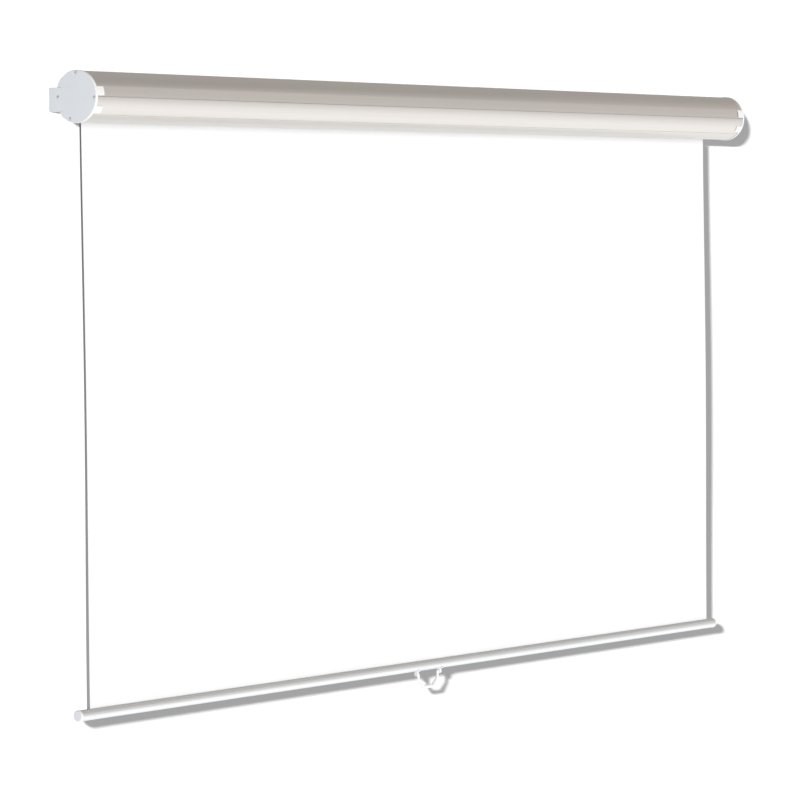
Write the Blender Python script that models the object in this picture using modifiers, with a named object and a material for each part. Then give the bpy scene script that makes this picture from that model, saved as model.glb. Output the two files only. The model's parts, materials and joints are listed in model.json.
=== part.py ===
"""Manual projector screen: a spring roller in a round aluminium case, with a drop bar and a pull handle.

X runs along the case, -Y faces the room, +Y is the wall and +Z is up. The origin lies on the wall,
behind the middle of the case and at the height of the case's axis. Angles round the case are in
degrees, from the front (0) over the top (90) to the wall side (180) and the underside (270).
"""

import math

import bmesh
import bpy
from mathutils import Matrix, Vector

MM = 0.001
GAP = 0.3 * MM

# Driving dimensions
FABRIC_WIDTH = 1.800
DROP = 0.900
OVERALL_LENGTH = 1.880
AXIS_TO_WALL = 54 * MM

# Case and end caps
CASE_RADIUS = 39.5 * MM
CASE_WALL = 1.6 * MM
CAP_RADIUS = 40.5 * MM
CAP_THICKNESS = 4 * MM
CAP_FACE = 3.4 * MM
COLLAR_LENGTH = 1 * MM
COLLAR_WALL = 0.7 * MM
SPIGOT_LENGTH = 10 * MM
SPIGOT_WALL = 3 * MM
CAP_FILLET = 1 * MM
FACET_DEG = 4
RIDGE_DEG = 23
GROOVE_DEGS = (-1, -46)
GROOVE_DEPTH = 0.8 * MM
GROOVE_HALF_DEG = 0.8
LAND_DEPTH = 0.5 * MM
TONGUES = ((1, 21), (-40, -23))
TONGUE_LENGTH = 16.5 * MM
TONGUE_RADII = (39.85 * MM, 40.4 * MM)
NOTCH_RADII = (32 * MM, 38.6 * MM)

# Fabric slot in the case
SLOT_DEGS = (218.5, 231)
LIP_DEG = 2.6
LIP_DEPTH = 1.3 * MM
SLOT_NOTCH_HALF = 7.4 * MM

# Cap screws and the channels in the case that they bite into
SCREW_DEGS = {"front": -4, "top": 90, "rear": 180, "bottom": 250}
SCREW_RING = 36.2 * MM
CHANNEL_HOLE = 1.6 * MM
CHANNEL_RADIUS = 3.0 * MM
CHANNEL_MOUTH = 0.7 * MM
SCREW_SHANK = 1.3 * MM
SCREW_HEAD = 2.8 * MM
SCREW_CONE = 1.5 * MM
SCREW_LENGTH = 18 * MM
SCREW_SINK = 0.2 * MM
SCREW_CLEARANCE = 0.35 * MM

# Wall brackets
ARM_REACH = 25 * MM
ARM_TOP = 14.6 * MM
ARM_BOTTOM = -22 * MM
ARM_PLATE = 2 * MM
FLANGE_PLATE = 2.5 * MM
FLANGE_LENGTH = 38 * MM
WALL_HOLE = 2.6 * MM
WALL_HOLE_INSET = 9 * MM
WALL_HOLE_HEIGHTS = (6 * MM, -13 * MM)

# Roller, its plugs and the fabric left on it
TUBE_RADIUS = 24.5 * MM
TUBE_WALL = 1.3 * MM
TUBE_HALF = FABRIC_WIDTH / 2 + 8 * MM
ROLL_RADIUS = 26.5 * MM
FABRIC_OFFSET = 27 * MM
FABRIC_THICKNESS = 0.4 * MM
PLUG_FLANGE = 3 * MM
PLUG_LENGTH = 26 * MM
PLUG_SKIRT = 2.2 * MM
PLUG_WEB = 4 * MM
PLUG_HUB_WALL = 4.2 * MM
IDLE_PIN_RADIUS = 3 * MM
IDLE_PIN_REACH = 25 * MM
SOCKET_FLOOR = 0.5 * MM
BUSH_RADIUS = 6 * MM
BOSS_RADIUS = 9 * MM

# Spring drive at the right end
ARBOR_RADIUS = 4.5 * MM
ARBOR_START = 0.600
SPADE_LENGTH = 13 * MM
SPADE_THICKNESS = 4 * MM
SPADE_BOSS_RADIUS = 10 * MM
SPADE_BOSS_LENGTH = 12.5 * MM
TURNING_ANCHOR_X = 0.612
FIXED_ANCHOR_X = 0.860
TURNING_ANCHOR_LENGTH = 14 * MM
FIXED_ANCHOR_LENGTH = 12 * MM
FIXED_ANCHOR_RADIUS = 11.5 * MM
ANCHOR_SPIGOT = 18 * MM
ANCHOR_SPIGOT_RADIUS = 7.6 * MM
SPRING_RADIUS = 9.5 * MM
SPRING_WIRE = 0.8 * MM
SPRING_TURNS = 26
SPRING_POINTS = 8

# Centrifugal ratchet
HUB_X = (0.9123, 0.9183)
HUB_RADIUS = 9.5 * MM
HUB_NOTCHES = 4
PAWL_X = (0.9123, 0.9173)
PAWL_PIVOT = (12 * MM, 11.5 * MM)
PAWL_EYE = 3 * MM
PAWL_TIP = ((0.2 * MM, 12.3 * MM), (0.2 * MM, 9.95 * MM))
NOTCH = ((-0.1 * MM, 7.2 * MM), (7.2 * MM, 7.7 * MM))
PAWL_PIN_RADIUS = 1.5 * MM
PIN_HEAD = 2.6 * MM
PIN_HEAD_THICKNESS = 1.4 * MM
PIN_LENGTH = 12 * MM

# Free edges of the sheet
EDGE_CURL = 2.5 * MM
CURL_WIDTH = 60 * MM
SHEET_COLUMNS = 24
SHEET_ROWS = 10

# Drop bar, hem and handle
BAR_RADIUS = 8.6 * MM
BAR_WALL = 1.2 * MM
BAR_HALF = 0.9195
BAR_MOUTH = 0.9 * MM
BAR_CAP_RADIUS = 9 * MM
BAR_CAP_THICKNESS = 3 * MM
BAR_CAP_ROUND = 2 * MM
BAR_CAP_FLOOR = 1 * MM
BAR_PLUG_LENGTH = 14 * MM
HEM_RISE = 3.9 * MM
HEM_RADIUS = 3.1 * MM
SPLINE_RADIUS = 2.2 * MM
CLIP_X = (30.8 * MM, 34.8 * MM)
CLIP_WALL = 1.2 * MM
CLIP_WRAP_DEG = 50
STUD_RADIUS = 1.8 * MM
BARB_RADIUS = 2.4 * MM
BARB_HEIGHT = 2 * MM
BARB_CLEARANCE = 0.8 * MM
EYE_RADIUS = 3.8 * MM
EYE_DROP = 13.6 * MM
EYE_CLEARANCE = 0.4 * MM
NECK_HALF = 2.4 * MM
BAIL_WIRE = 2.2 * MM
TRUNNION_PAST = 0.8 * MM
BAIL_HALF = 28 * MM
GRIP_HALF = 13.5 * MM
LEG_LENGTH = 9.7 * MM
BAIL_DEPTH = 23.4 * MM
GRIP_SWELL = 0.45
TRUNNION_BEND = 2.4 * MM
LEG_BEND = 6 * MM
GRIP_BEND = 5 * MM

AXIS_Y = -AXIS_TO_WALL
CAP_PLANE = OVERALL_LENGTH / 2 - CAP_THICKNESS
CASE_HALF = CAP_PLANE - GAP
CASE_INNER = CASE_RADIUS - CASE_WALL
SHEET_Y = AXIS_Y + FABRIC_OFFSET
BAR_Z = -(CASE_RADIUS + DROP + BAR_RADIUS)
PIVOT_Z = BAR_Z - EYE_DROP
TUBE_INNER = TUBE_RADIUS - TUBE_WALL
PLUG_RADIUS = TUBE_INNER - GAP
SIDES = {"left": -1, "right": 1}
PAST = 1 * MM
SMOOTH_UNDER_DEG = 50


# Scene and materials

def empty_scene():
    for old in list(bpy.data.objects):
        bpy.data.objects.remove(old, do_unlink=True)


def new_collection(name):
    collection = bpy.data.collections.new(name)
    bpy.context.scene.collection.children.link(collection)
    return collection


def finish(name, colour, roughness, metallic=0.0):
    material = bpy.data.materials.new(name)
    material.use_nodes = True
    shader = material.node_tree.nodes["Principled BSDF"]
    shader.inputs["Base Color"].default_value = (*colour, 1.0)
    shader.inputs["Roughness"].default_value = roughness
    shader.inputs["Metallic"].default_value = metallic
    material.diffuse_color = (*colour, 1.0)
    return material


empty_scene()
PARTS = new_collection("projector_screen")
CUTTERS = new_collection("cutters")

CHAMPAGNE_ALUMINIUM = finish("champagne_aluminium", (0.74, 0.71, 0.68), 0.32, 1.0)
GREY_PLASTIC = finish("pale_grey_plastic", (0.70, 0.73, 0.76), 0.45)
PAINTED_STEEL = finish("pale_painted_steel", (0.70, 0.73, 0.76), 0.40)
ZINC_STEEL = finish("zinc_plated_steel", (0.60, 0.62, 0.64), 0.30, 1.0)
SPRING_STEEL = finish("spring_steel", (0.28, 0.28, 0.30), 0.35, 1.0)
NYLON = finish("natural_nylon", (0.86, 0.85, 0.80), 0.50)
SCREEN_FABRIC = finish("matt_white_fabric", (0.92, 0.92, 0.91), 0.90)
WHITE_LACQUER = finish("white_lacquered_steel", (0.90, 0.90, 0.90), 0.35)
WHITE_PLASTIC = finish("white_plastic", (0.88, 0.89, 0.90), 0.40)


# Modelling helpers

def add_object(name, mesh, material):
    """A mesh object among the parts or, with no material, among the cutters."""
    made = bpy.data.objects.new(name, mesh)
    if material is None:
        CUTTERS.objects.link(made)
        made.hide_render = True
        made.display_type = "WIRE"
        return made
    PARTS.objects.link(made)
    mesh.materials.append(material)
    return made


def polar(radius, degrees, centre=(AXIS_Y, 0.0)):
    """(y, z) at this radius and angle round a line along X: 0 is the front, 90 the top."""
    turn = math.radians(degrees)
    return (centre[0] - radius * math.cos(turn), centre[1] + radius * math.sin(turn))


def arc(radius, start, end, steps, centre=(0.0, 0.0)):
    """Points (a, b) on an arc, with the angle counted from +a towards +b."""
    turns = [math.radians(start + (end - start) * i / steps) for i in range(steps + 1)]
    return [(centre[0] + radius * math.cos(t), centre[1] + radius * math.sin(t)) for t in turns]


def turned(name, profile, plane_x, side, segments, material, centre=(AXIS_Y, 0.0)):
    """A solid of revolution about a line along X, from a profile of (radius, offset outwards).

    The profile runs down the outer side, from the outer end. It closes on itself if it never
    meets the axis.
    """
    points = [(radius, 0.0, offset) for radius, offset in profile]
    edges = [(i, i + 1) for i in range(len(points) - 1)]
    if profile[0][0] > 0:
        edges.append((len(points) - 1, 0))
    mesh = bpy.data.meshes.new(name)
    mesh.from_pydata(points, edges, [])
    made = add_object(name, mesh, material)
    made.location = (plane_x, *centre)
    made.rotation_euler = (0, side * math.pi / 2, 0)
    screw = made.modifiers.new("revolve", "SCREW")
    screw.axis = "Z"
    screw.steps = segments
    screw.render_steps = segments
    screw.use_merge_vertices = True
    screw.merge_threshold = 0.00001
    screw.use_smooth_shade = False
    return made


def extruded(name, outlines, x_range, material):
    """A solid that runs along X, from flat (y, z) outlines: the first is the outside, the rest are holes."""
    curve = bpy.data.curves.new(name, "CURVE")
    curve.dimensions = "2D"
    curve.fill_mode = "BOTH"
    curve.extrude = abs(x_range[1] - x_range[0]) / 2
    for outline in outlines:
        spline = curve.splines.new("POLY")
        spline.points.add(len(outline) - 1)
        for point, (y, z) in zip(spline.points, outline):
            point.co = (y, z, 0.0, 1.0)
        spline.use_cyclic_u = True
    source = bpy.data.objects.new(name + "_outline", curve)
    bpy.context.scene.collection.objects.link(source)
    source.rotation_euler = (math.pi / 2, 0, math.pi / 2)
    source.location = (sum(x_range) / 2, 0, 0)
    return meshed(name, source, material)


def meshed(name, source, material):
    """The mesh of a curve object, with its caps welded. The curve is removed."""
    bpy.context.view_layer.update()
    graph = bpy.context.evaluated_depsgraph_get()
    mesh = bpy.data.meshes.new_from_object(source.evaluated_get(graph))
    mesh.materials.clear()
    work = bmesh.new()
    work.from_mesh(mesh)
    bmesh.ops.remove_doubles(work, verts=work.verts, dist=0.000005)
    bmesh.ops.recalc_face_normals(work, faces=work.faces)
    work.to_mesh(mesh)
    work.free()
    made = add_object(name, mesh, material)
    made.matrix_world = source.matrix_world.copy()
    bpy.data.objects.remove(source, do_unlink=True)
    return made


def rod(name, radius, x_range, y, z, segments, material):
    """A plain round bar along X."""
    mesh = bpy.data.meshes.new(name)
    work = bmesh.new()
    bmesh.ops.create_cone(
        work, cap_ends=True, segments=segments, radius1=radius, radius2=radius,
        depth=abs(x_range[1] - x_range[0]), matrix=Matrix.Rotation(math.pi / 2, 4, "Y"),
    )
    work.to_mesh(mesh)
    work.free()
    made = add_object(name, mesh, material)
    made.location = (sum(x_range) / 2, y, z)
    return made


def block(name, x_range, y_range, z_range, material, turn_deg=0.0, centre=(0.0, 0.0)):
    """A box given by its ranges, turned about a line along X if need be."""
    mesh = bpy.data.meshes.new(name)
    work = bmesh.new()
    sizes = [abs(r[1] - r[0]) for r in (x_range, y_range, z_range)]
    middle = Vector([sum(r) / 2 for r in (x_range, y_range, z_range)])
    place = Matrix.Translation(middle) @ Matrix.Diagonal((*sizes, 1.0))
    bmesh.ops.create_cube(work, size=1.0, matrix=place)
    work.to_mesh(mesh)
    work.free()
    made = add_object(name, mesh, material)
    made.location = (0, *centre)
    made.rotation_euler = (math.radians(turn_deg), 0, 0)
    return made


def radial_block(name, degrees, radii, half_width, x_range):
    """A cutter box that lies along a radius of the case."""
    return block(name, x_range, (-radii[1], -radii[0]), (-half_width, half_width), None,
                 -degrees, (AXIS_Y, 0.0))


def boolean(target, tool, operation="DIFFERENCE"):
    step = target.modifiers.new(tool.name, "BOOLEAN")
    step.operation = operation
    step.solver = "EXACT"
    step.object = tool


def bevelled(target, width, segments=1):
    edge = target.modifiers.new("edges", "BEVEL")
    edge.width = width
    edge.segments = segments
    edge.limit_method = "ANGLE"
    edge.angle_limit = math.radians(SMOOTH_UNDER_DEG)


def shade_round_faces():
    """Apply each part's modifiers, then shade its round faces smooth and keep its corners sharp."""
    bpy.context.view_layer.update()
    graph = bpy.context.evaluated_depsgraph_get()
    finished = {made: bpy.data.meshes.new_from_object(made.evaluated_get(graph)) for made in PARTS.objects}
    for made, mesh in finished.items():
        mesh.shade_smooth()
        mesh.set_sharp_from_angle(angle=math.radians(SMOOTH_UNDER_DEG))
        made.modifiers.clear()
        made.data = mesh


# Case

def outer_radius(degrees):
    """Radius of the case's skin. The land from the upper groove up to the ridge is nearly flat."""
    turn = (degrees + 180) % 360 - 180
    for groove in GROOVE_DEGS:
        if abs(turn - groove) < 0.01:
            return CASE_RADIUS - GROOVE_DEPTH
    foot = GROOVE_DEGS[0] + GROOVE_HALF_DEG
    across = (2 * turn - foot - RIDGE_DEG) / (RIDGE_DEG - foot)
    return CASE_RADIUS - LAND_DEPTH * max(0.0, 1 - across ** 2)


def skin_angles():
    """Angles of the skin's points, from the slot's front lip round the front to its rear lip."""
    start, end = SLOT_DEGS[1], SLOT_DEGS[0] + 360
    count = round((end - start) / FACET_DEG)
    angles = [start + (end - start) * i / count for i in range(count + 1)]
    features = [groove + 360 + edge for groove in GROOVE_DEGS
                for edge in (-GROOVE_HALF_DEG, 0.0, GROOVE_HALF_DEG)]
    features.append(RIDGE_DEG + 360)
    clear = [a for a in angles if all(abs(a - f) > 1.2 for f in features)]
    return sorted(clear + features)


def channel_outline(degrees):
    """The C-shaped channel for a cap screw, walked with the angle falling, as bumps of the inner wall."""
    root = (CASE_INNER ** 2 - SCREW_RING ** 2 - CHANNEL_RADIUS ** 2) / (2 * SCREW_RING * CHANNEL_RADIUS)
    foot = math.degrees(math.acos(root))
    mouth_out = math.degrees(math.asin(CHANNEL_MOUTH / CHANNEL_RADIUS))
    mouth_in = math.degrees(math.asin(CHANNEL_MOUTH / CHANNEL_HOLE))
    local = arc(CHANNEL_RADIUS, foot, 180 - mouth_out, 5)
    local += arc(CHANNEL_HOLE, 180 - mouth_in, mouth_in - 180, 10)
    local += arc(CHANNEL_RADIUS, 180 + mouth_out, 360 - foot, 5)
    turn = math.radians(degrees)
    outwards = (-math.cos(turn), math.sin(turn))
    onwards = (math.sin(turn), math.cos(turn))
    centre = polar(SCREW_RING, degrees)
    return [(centre[0] + a * outwards[0] + b * onwards[0],
             centre[1] + a * outwards[1] + b * onwards[1]) for a, b in local]


def inner_outline():
    """The inner wall from the slot's rear lip back to its front lip, with both lips and four channels."""
    start, end = SLOT_DEGS[0] + 360, SLOT_DEGS[1]
    half_foot = math.degrees(CHANNEL_RADIUS / SCREW_RING) + 0.6
    channels = [d + 360 if d < end else d for d in SCREW_DEGS.values()]
    points = [polar(CASE_INNER - LIP_DEPTH, start), polar(CASE_INNER - LIP_DEPTH, start - LIP_DEG)]
    degrees = start - LIP_DEG - 0.4
    while degrees > end + LIP_DEG + 0.3:
        near = [c for c in channels if abs(c - degrees) < half_foot]
        if near:
            points += channel_outline(near[0])
            channels.remove(near[0])
            degrees = near[0] - half_foot - 0.2
            continue
        points.append(polar(CASE_INNER, degrees))
        degrees -= FACET_DEG
    points += [polar(CASE_INNER, end + LIP_DEG + 0.4), polar(CASE_INNER - LIP_DEPTH, end + LIP_DEG),
               polar(CASE_INNER - LIP_DEPTH, end)]
    return points


def make_case():
    outline = [polar(outer_radius(a), a) for a in skin_angles()] + inner_outline()
    extruded("case_shell", [outline], (-CASE_HALF, CASE_HALF), CHAMPAGNE_ALUMINIUM)


# End caps, screws and wall brackets

def sector(start, end, inner, outer, step_deg=4.0):
    steps = round(abs(end - start) / step_deg)
    angles = [start + (end - start) * i / steps for i in range(steps + 1)]
    return [polar(outer, a) for a in angles] + [polar(inner, a) for a in reversed(angles)]


def screw_cutter(name, side, degrees):
    """The hole and countersink of one cap screw."""
    head, shank = SCREW_HEAD + SCREW_CLEARANCE, SCREW_SHANK + SCREW_CLEARANCE
    rim = 0.05 * MM - SCREW_SINK
    profile = [(0.0, PAST), (head, PAST), (head, rim), (shank, rim - SCREW_CONE), (shank, -SCREW_LENGTH),
               (0.0, -SCREW_LENGTH)]
    return turned(name, profile, side * OVERALL_LENGTH / 2, side, 16, None, polar(SCREW_RING, degrees))


def make_end_cap(end):
    """A moulded cap: face, collar over the case with two tongues, spigot, and a boss for the shaft."""
    side = SIDES[end]
    inner_face = CAP_THICKNESS - CAP_FACE
    spigot = CASE_INNER - GAP
    collar_inner = CAP_RADIUS - COLLAR_WALL
    edge = arc(CAP_FILLET, 90, 0, 3, (CAP_RADIUS - CAP_FILLET, CAP_THICKNESS - CAP_FILLET))
    profile = [(0.0, CAP_THICKNESS), (CAP_RADIUS - 2 * CAP_FILLET, CAP_THICKNESS)] + edge
    profile += [(CAP_RADIUS, -COLLAR_LENGTH), (collar_inner, -COLLAR_LENGTH), (collar_inner, 0.0),
                (spigot, 0.0), (spigot, -SPIGOT_LENGTH), (spigot - SPIGOT_WALL, -SPIGOT_LENGTH),
                (spigot - SPIGOT_WALL, inner_face)]
    if end == "left":
        socket = BUSH_RADIUS + GAP
        profile += [(BOSS_RADIUS, inner_face), (BOSS_RADIUS, -SPIGOT_LENGTH), (socket, -SPIGOT_LENGTH),
                    (socket, SOCKET_FLOOR), (0.0, SOCKET_FLOOR)]
    else:
        profile += [(SPADE_BOSS_RADIUS, inner_face), (SPADE_BOSS_RADIUS, -SPADE_BOSS_LENGTH),
                    (0.0, -SPADE_BOSS_LENGTH)]
    cap = turned("end_cap_" + end, profile, side * CAP_PLANE, side, 48, GREY_PLASTIC)
    tongue_x = (side * (CAP_PLANE - TONGUE_LENGTH), side * (CAP_PLANE + CAP_THICKNESS / 3))
    for number, (start, stop) in enumerate(TONGUES):
        tongue = extruded(f"tongue_{end}_{number}", [sector(start, stop, *TONGUE_RADII)], tongue_x, None)
        boolean(cap, tongue, "UNION")
    notch_x = (side * (CAP_PLANE - SPIGOT_LENGTH - PAST), side * (CAP_PLANE + GAP))
    for where, degrees in SCREW_DEGS.items():
        boolean(cap, radial_block(f"channel_notch_{end}_{where}", degrees, NOTCH_RADII,
                                  CHANNEL_RADIUS + GAP, notch_x))
    slot_notch = radial_block(f"slot_notch_{end}", sum(SLOT_DEGS) / 2, NOTCH_RADII, SLOT_NOTCH_HALF, notch_x)
    boolean(cap, slot_notch)
    recess = block(f"arm_recess_{end}",
                   (side * (OVERALL_LENGTH / 2 - ARM_PLATE - GAP), side * (OVERALL_LENGTH / 2 + PAST)),
                   (-ARM_REACH - GAP, AXIS_Y + CAP_RADIUS + PAST), (ARM_BOTTOM - GAP, ARM_TOP + GAP), None)
    boolean(cap, recess)
    for where, degrees in SCREW_DEGS.items():
        boolean(cap, screw_cutter(f"screw_hole_{end}_{where}", side, degrees))
    if end == "right":
        slot = block("spade_slot", (CAP_PLANE - SPADE_BOSS_LENGTH - PAST, CAP_PLANE + SOCKET_FLOOR),
                     (AXIS_Y - SPADE_THICKNESS / 2 - GAP, AXIS_Y + SPADE_THICKNESS / 2 + GAP),
                     (-ARBOR_RADIUS - GAP, ARBOR_RADIUS + GAP), None)
        boolean(cap, slot)


def make_cap_screws(end):
    side = SIDES[end]
    profile = [(0.0, -SCREW_SINK), (SCREW_HEAD, -SCREW_SINK), (SCREW_SHANK, -SCREW_SINK - SCREW_CONE),
               (SCREW_SHANK, SCREW_SHANK - SCREW_LENGTH), (SCREW_SHANK / 3, -SCREW_LENGTH),
               (0.0, -SCREW_LENGTH)]
    for where, degrees in SCREW_DEGS.items():
        turned(f"cap_screw_{end}_{where}", profile, side * OVERALL_LENGTH / 2, side, 12, ZINC_STEEL,
               polar(SCREW_RING, degrees))


def make_wall_bracket(end):
    """An angle of plate: an arm let into the cap's face, and a flange with two holes on the wall."""
    side = SIDES[end]
    face = OVERALL_LENGTH / 2
    bracket = block("wall_bracket_" + end, (side * (face - FLANGE_LENGTH), side * face), (-ARM_REACH, 0.0),
                    (ARM_BOTTOM, ARM_TOP), PAINTED_STEEL)
    angle = block(f"inside_of_angle_{end}", (side * (face - 2 * FLANGE_LENGTH), side * (face - ARM_PLATE)),
                  (-2 * ARM_REACH, -FLANGE_PLATE), (2 * ARM_BOTTOM, -2 * ARM_BOTTOM), None)
    boolean(bracket, angle)
    boolean(bracket, screw_cutter(f"arm_screw_hole_{end}", side, SCREW_DEGS["rear"]))
    for number, height in enumerate(WALL_HOLE_HEIGHTS):
        x = side * (face - FLANGE_LENGTH + WALL_HOLE_INSET)
        hole = rod(f"wall_hole_{end}_{number}", WALL_HOLE, (x - FLANGE_PLATE, x + FLANGE_PLATE),
                   -FLANGE_PLATE / 2, height, 20, None)
        hole.rotation_euler = (0, 0, math.pi / 2)
        boolean(bracket, hole)


# Roller and its idle end

def make_roller():
    ring = [(TUBE_RADIUS, TUBE_HALF), (TUBE_RADIUS, -TUBE_HALF), (TUBE_INNER, -TUBE_HALF),
            (TUBE_INNER, TUBE_HALF)]
    turned("roller_tube", ring, 0, 1, 48, ZINC_STEEL)
    half = FABRIC_WIDTH / 2
    inner = TUBE_RADIUS + GAP
    wound = [(ROLL_RADIUS, half), (ROLL_RADIUS, -half), (inner, -half), (inner, half)]
    turned("wound_fabric", wound, 0, 1, 48, SCREEN_FABRIC)


def make_roller_plug(end, bore):
    """A cup-shaped plug: flange against the tube's end, skirt inside the tube, hub round the shaft."""
    skirt_inner = PLUG_RADIUS - PLUG_SKIRT
    web = PLUG_FLANGE - PLUG_WEB
    hub, hub_end = bore + PLUG_HUB_WALL, 2 * MM - PLUG_LENGTH
    profile = [(TUBE_RADIUS - GAP, PLUG_FLANGE), (TUBE_RADIUS - GAP, 0.0), (PLUG_RADIUS, 0.0),
               (PLUG_RADIUS, -PLUG_LENGTH), (skirt_inner, -PLUG_LENGTH), (skirt_inner, web),
               (hub, web), (hub, hub_end), (bore, hub_end), (bore, PLUG_FLANGE)]
    return turned("roller_plug_" + end, profile, SIDES[end] * (TUBE_HALF + GAP), SIDES[end], 32, NYLON)


def make_idle_end():
    make_roller_plug("left", IDLE_PIN_RADIUS + GAP)
    tip = -(CAP_PLANE - SOCKET_FLOOR)
    idle_pin = rod("idle_pin", IDLE_PIN_RADIUS, (tip, IDLE_PIN_REACH - TUBE_HALF), AXIS_Y, 0, 20, ZINC_STEEL)
    bevelled(idle_pin, IDLE_PIN_RADIUS / 6)
    length = SPIGOT_LENGTH - GAP
    bore = IDLE_PIN_RADIUS + GAP
    profile = [(BUSH_RADIUS, 0.0), (BUSH_RADIUS, -length), (bore, -length), (bore, 0.0)]
    turned("idle_bush", profile, -CAP_PLANE, -1, 24, NYLON)


# Spring drive

def make_arbor():
    """A fixed shaft whose outer end is flattened to a spade, held from turning by the right cap."""
    spade_x = CAP_PLANE - SPADE_BOSS_LENGTH - PAST
    end_x = spade_x + SPADE_LENGTH
    arbor = rod("spring_arbor", ARBOR_RADIUS, (ARBOR_START, end_x), AXIS_Y, 0, 24, ZINC_STEEL)
    reach = ARBOR_RADIUS + PAST
    for number, side in enumerate((-1, 1)):
        flat = block(f"spade_flat_{number}", (spade_x, end_x + PAST),
                     (AXIS_Y + side * SPADE_THICKNESS / 2, AXIS_Y + side * reach), (-reach, reach), None)
        boolean(arbor, flat)


def anchor_profile(radius, thickness):
    bore = ARBOR_RADIUS + GAP
    return [(radius, thickness), (radius, 0.0), (ANCHOR_SPIGOT_RADIUS, 0.0),
            (ANCHOR_SPIGOT_RADIUS, -ANCHOR_SPIGOT), (bore, -ANCHOR_SPIGOT), (bore, thickness)]


def spring_points():
    start = TURNING_ANCHOR_X + SPRING_WIRE + GAP
    end = FIXED_ANCHOR_X - SPRING_WIRE - GAP
    count = SPRING_TURNS * SPRING_POINTS
    points = []
    for i in range(count + 1):
        y, z = polar(SPRING_RADIUS, 360 * i / SPRING_POINTS)
        points.append(Vector((start + (end - start) * i / count, y, z)))
    return points


def make_spring():
    points = spring_points()
    reach = [(points[i + SPRING_POINTS] - points[i]).length for i in range(SPRING_POINTS)]
    print(f"torsion_spring: least gap between turns {1000 * (min(reach) - 2 * SPRING_WIRE):.2f} mm")
    curve = bpy.data.curves.new("torsion_spring", "CURVE")
    curve.dimensions = "3D"
    curve.bevel_depth = SPRING_WIRE
    curve.bevel_resolution = 1
    curve.use_fill_caps = True
    spline = curve.splines.new("POLY")
    spline.points.add(len(points) - 1)
    for target, point in zip(spline.points, points):
        target.co = (*point, 1.0)
    source = bpy.data.objects.new("torsion_spring_path", curve)
    bpy.context.scene.collection.objects.link(source)
    meshed("torsion_spring", source, SPRING_STEEL)


def make_spring_drive():
    make_arbor()
    turning = anchor_profile(PLUG_RADIUS, TURNING_ANCHOR_LENGTH)
    turned("spring_anchor_turning", turning, TURNING_ANCHOR_X, -1, 32, NYLON)
    fixed = anchor_profile(FIXED_ANCHOR_RADIUS, FIXED_ANCHOR_LENGTH)
    turned("spring_anchor_fixed", fixed, FIXED_ANCHOR_X, 1, 24, ZINC_STEEL)
    make_spring()


# Ratchet

def ratchet_place(point, turned_over=False):
    """A ratchet point (towards the room, up) from the roller's axis. One pawl is the other turned by 180."""
    flip = -1 if turned_over else 1
    return (AXIS_Y - flip * point[0], flip * point[1])


def ramp_exit():
    """Where the notch's ramp comes out through the hub's rim."""
    (x0, z0), (x1, z1) = NOTCH
    slope = (z1 - z0) / (x1 - x0)
    rise = z0 - slope * x0
    square, linear = 1 + slope ** 2, slope * rise
    x = (-linear + math.sqrt(linear ** 2 - square * (rise ** 2 - HUB_RADIUS ** 2))) / square
    return (x, slope * x + rise)


def hub_outline():
    """A disc with even saw-tooth notches. In each, a steep wall locks a pawl and a ramp lets it go."""
    wall_top = math.degrees(math.acos(NOTCH[0][0] / HUB_RADIUS))
    ramp_end = math.degrees(math.atan2(*reversed(ramp_exit())))
    root_radius = math.hypot(*NOTCH[0])
    root = math.degrees(math.atan2(*reversed(NOTCH[0])))
    pitch = 360 / HUB_NOTCHES
    outline = []
    for notch in range(HUB_NOTCHES):
        turn = notch * pitch
        outline += arc(HUB_RADIUS, wall_top + turn, ramp_end + turn + pitch, 4)
        outline += arc(root_radius, root + turn + pitch, root + turn + pitch, 1)[:1]
    return [ratchet_place(p) for p in outline]


def make_pawl(name, turned_over):
    """A lever with a round eye. Its blunt tip stands clear of the hub, and drops into a notch to lock."""
    eye = arc(PAWL_EYE, -100, 100, 10, PAWL_PIVOT)
    hole = arc(PAWL_PIN_RADIUS + GAP, 0, 330, 11, PAWL_PIVOT)
    outlines = [[ratchet_place(p, turned_over) for p in outline] for outline in (list(PAWL_TIP) + eye, hole)]
    extruded("pawl_" + name, outlines, PAWL_X, ZINC_STEEL)
    profile = [(0.0, PIN_HEAD_THICKNESS), (PIN_HEAD, PIN_HEAD_THICKNESS), (PIN_HEAD, 0.0),
               (PAWL_PIN_RADIUS, 0.0), (PAWL_PIN_RADIUS, -PIN_LENGTH), (0.0, -PIN_LENGTH)]
    turned("pawl_pin_" + name, profile, PAWL_X[1] + GAP, 1, 16, ZINC_STEEL,
           ratchet_place(PAWL_PIVOT, turned_over))


def make_ratchet():
    """The hub is fixed on the arbor. The pawls ride on the right plug, which turns with the roller."""
    plug = make_roller_plug("right", ARBOR_RADIUS + GAP)
    hub_hole = [polar(ARBOR_RADIUS + GAP, 15 * i) for i in range(24)]
    extruded("ratchet_hub", [hub_outline(), hub_hole], HUB_X, ZINC_STEEL)
    for name, turned_over in (("upper", False), ("lower", True)):
        make_pawl(name, turned_over)
        y, z = ratchet_place(PAWL_PIVOT, turned_over)
        hole = rod("pawl_pin_hole_" + name, PAWL_PIN_RADIUS + GAP, (TUBE_HALF - 5 * MM, TUBE_HALF + 6 * MM),
                   y, z, 16, None)
        boolean(plug, hole)


# Fabric

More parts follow.
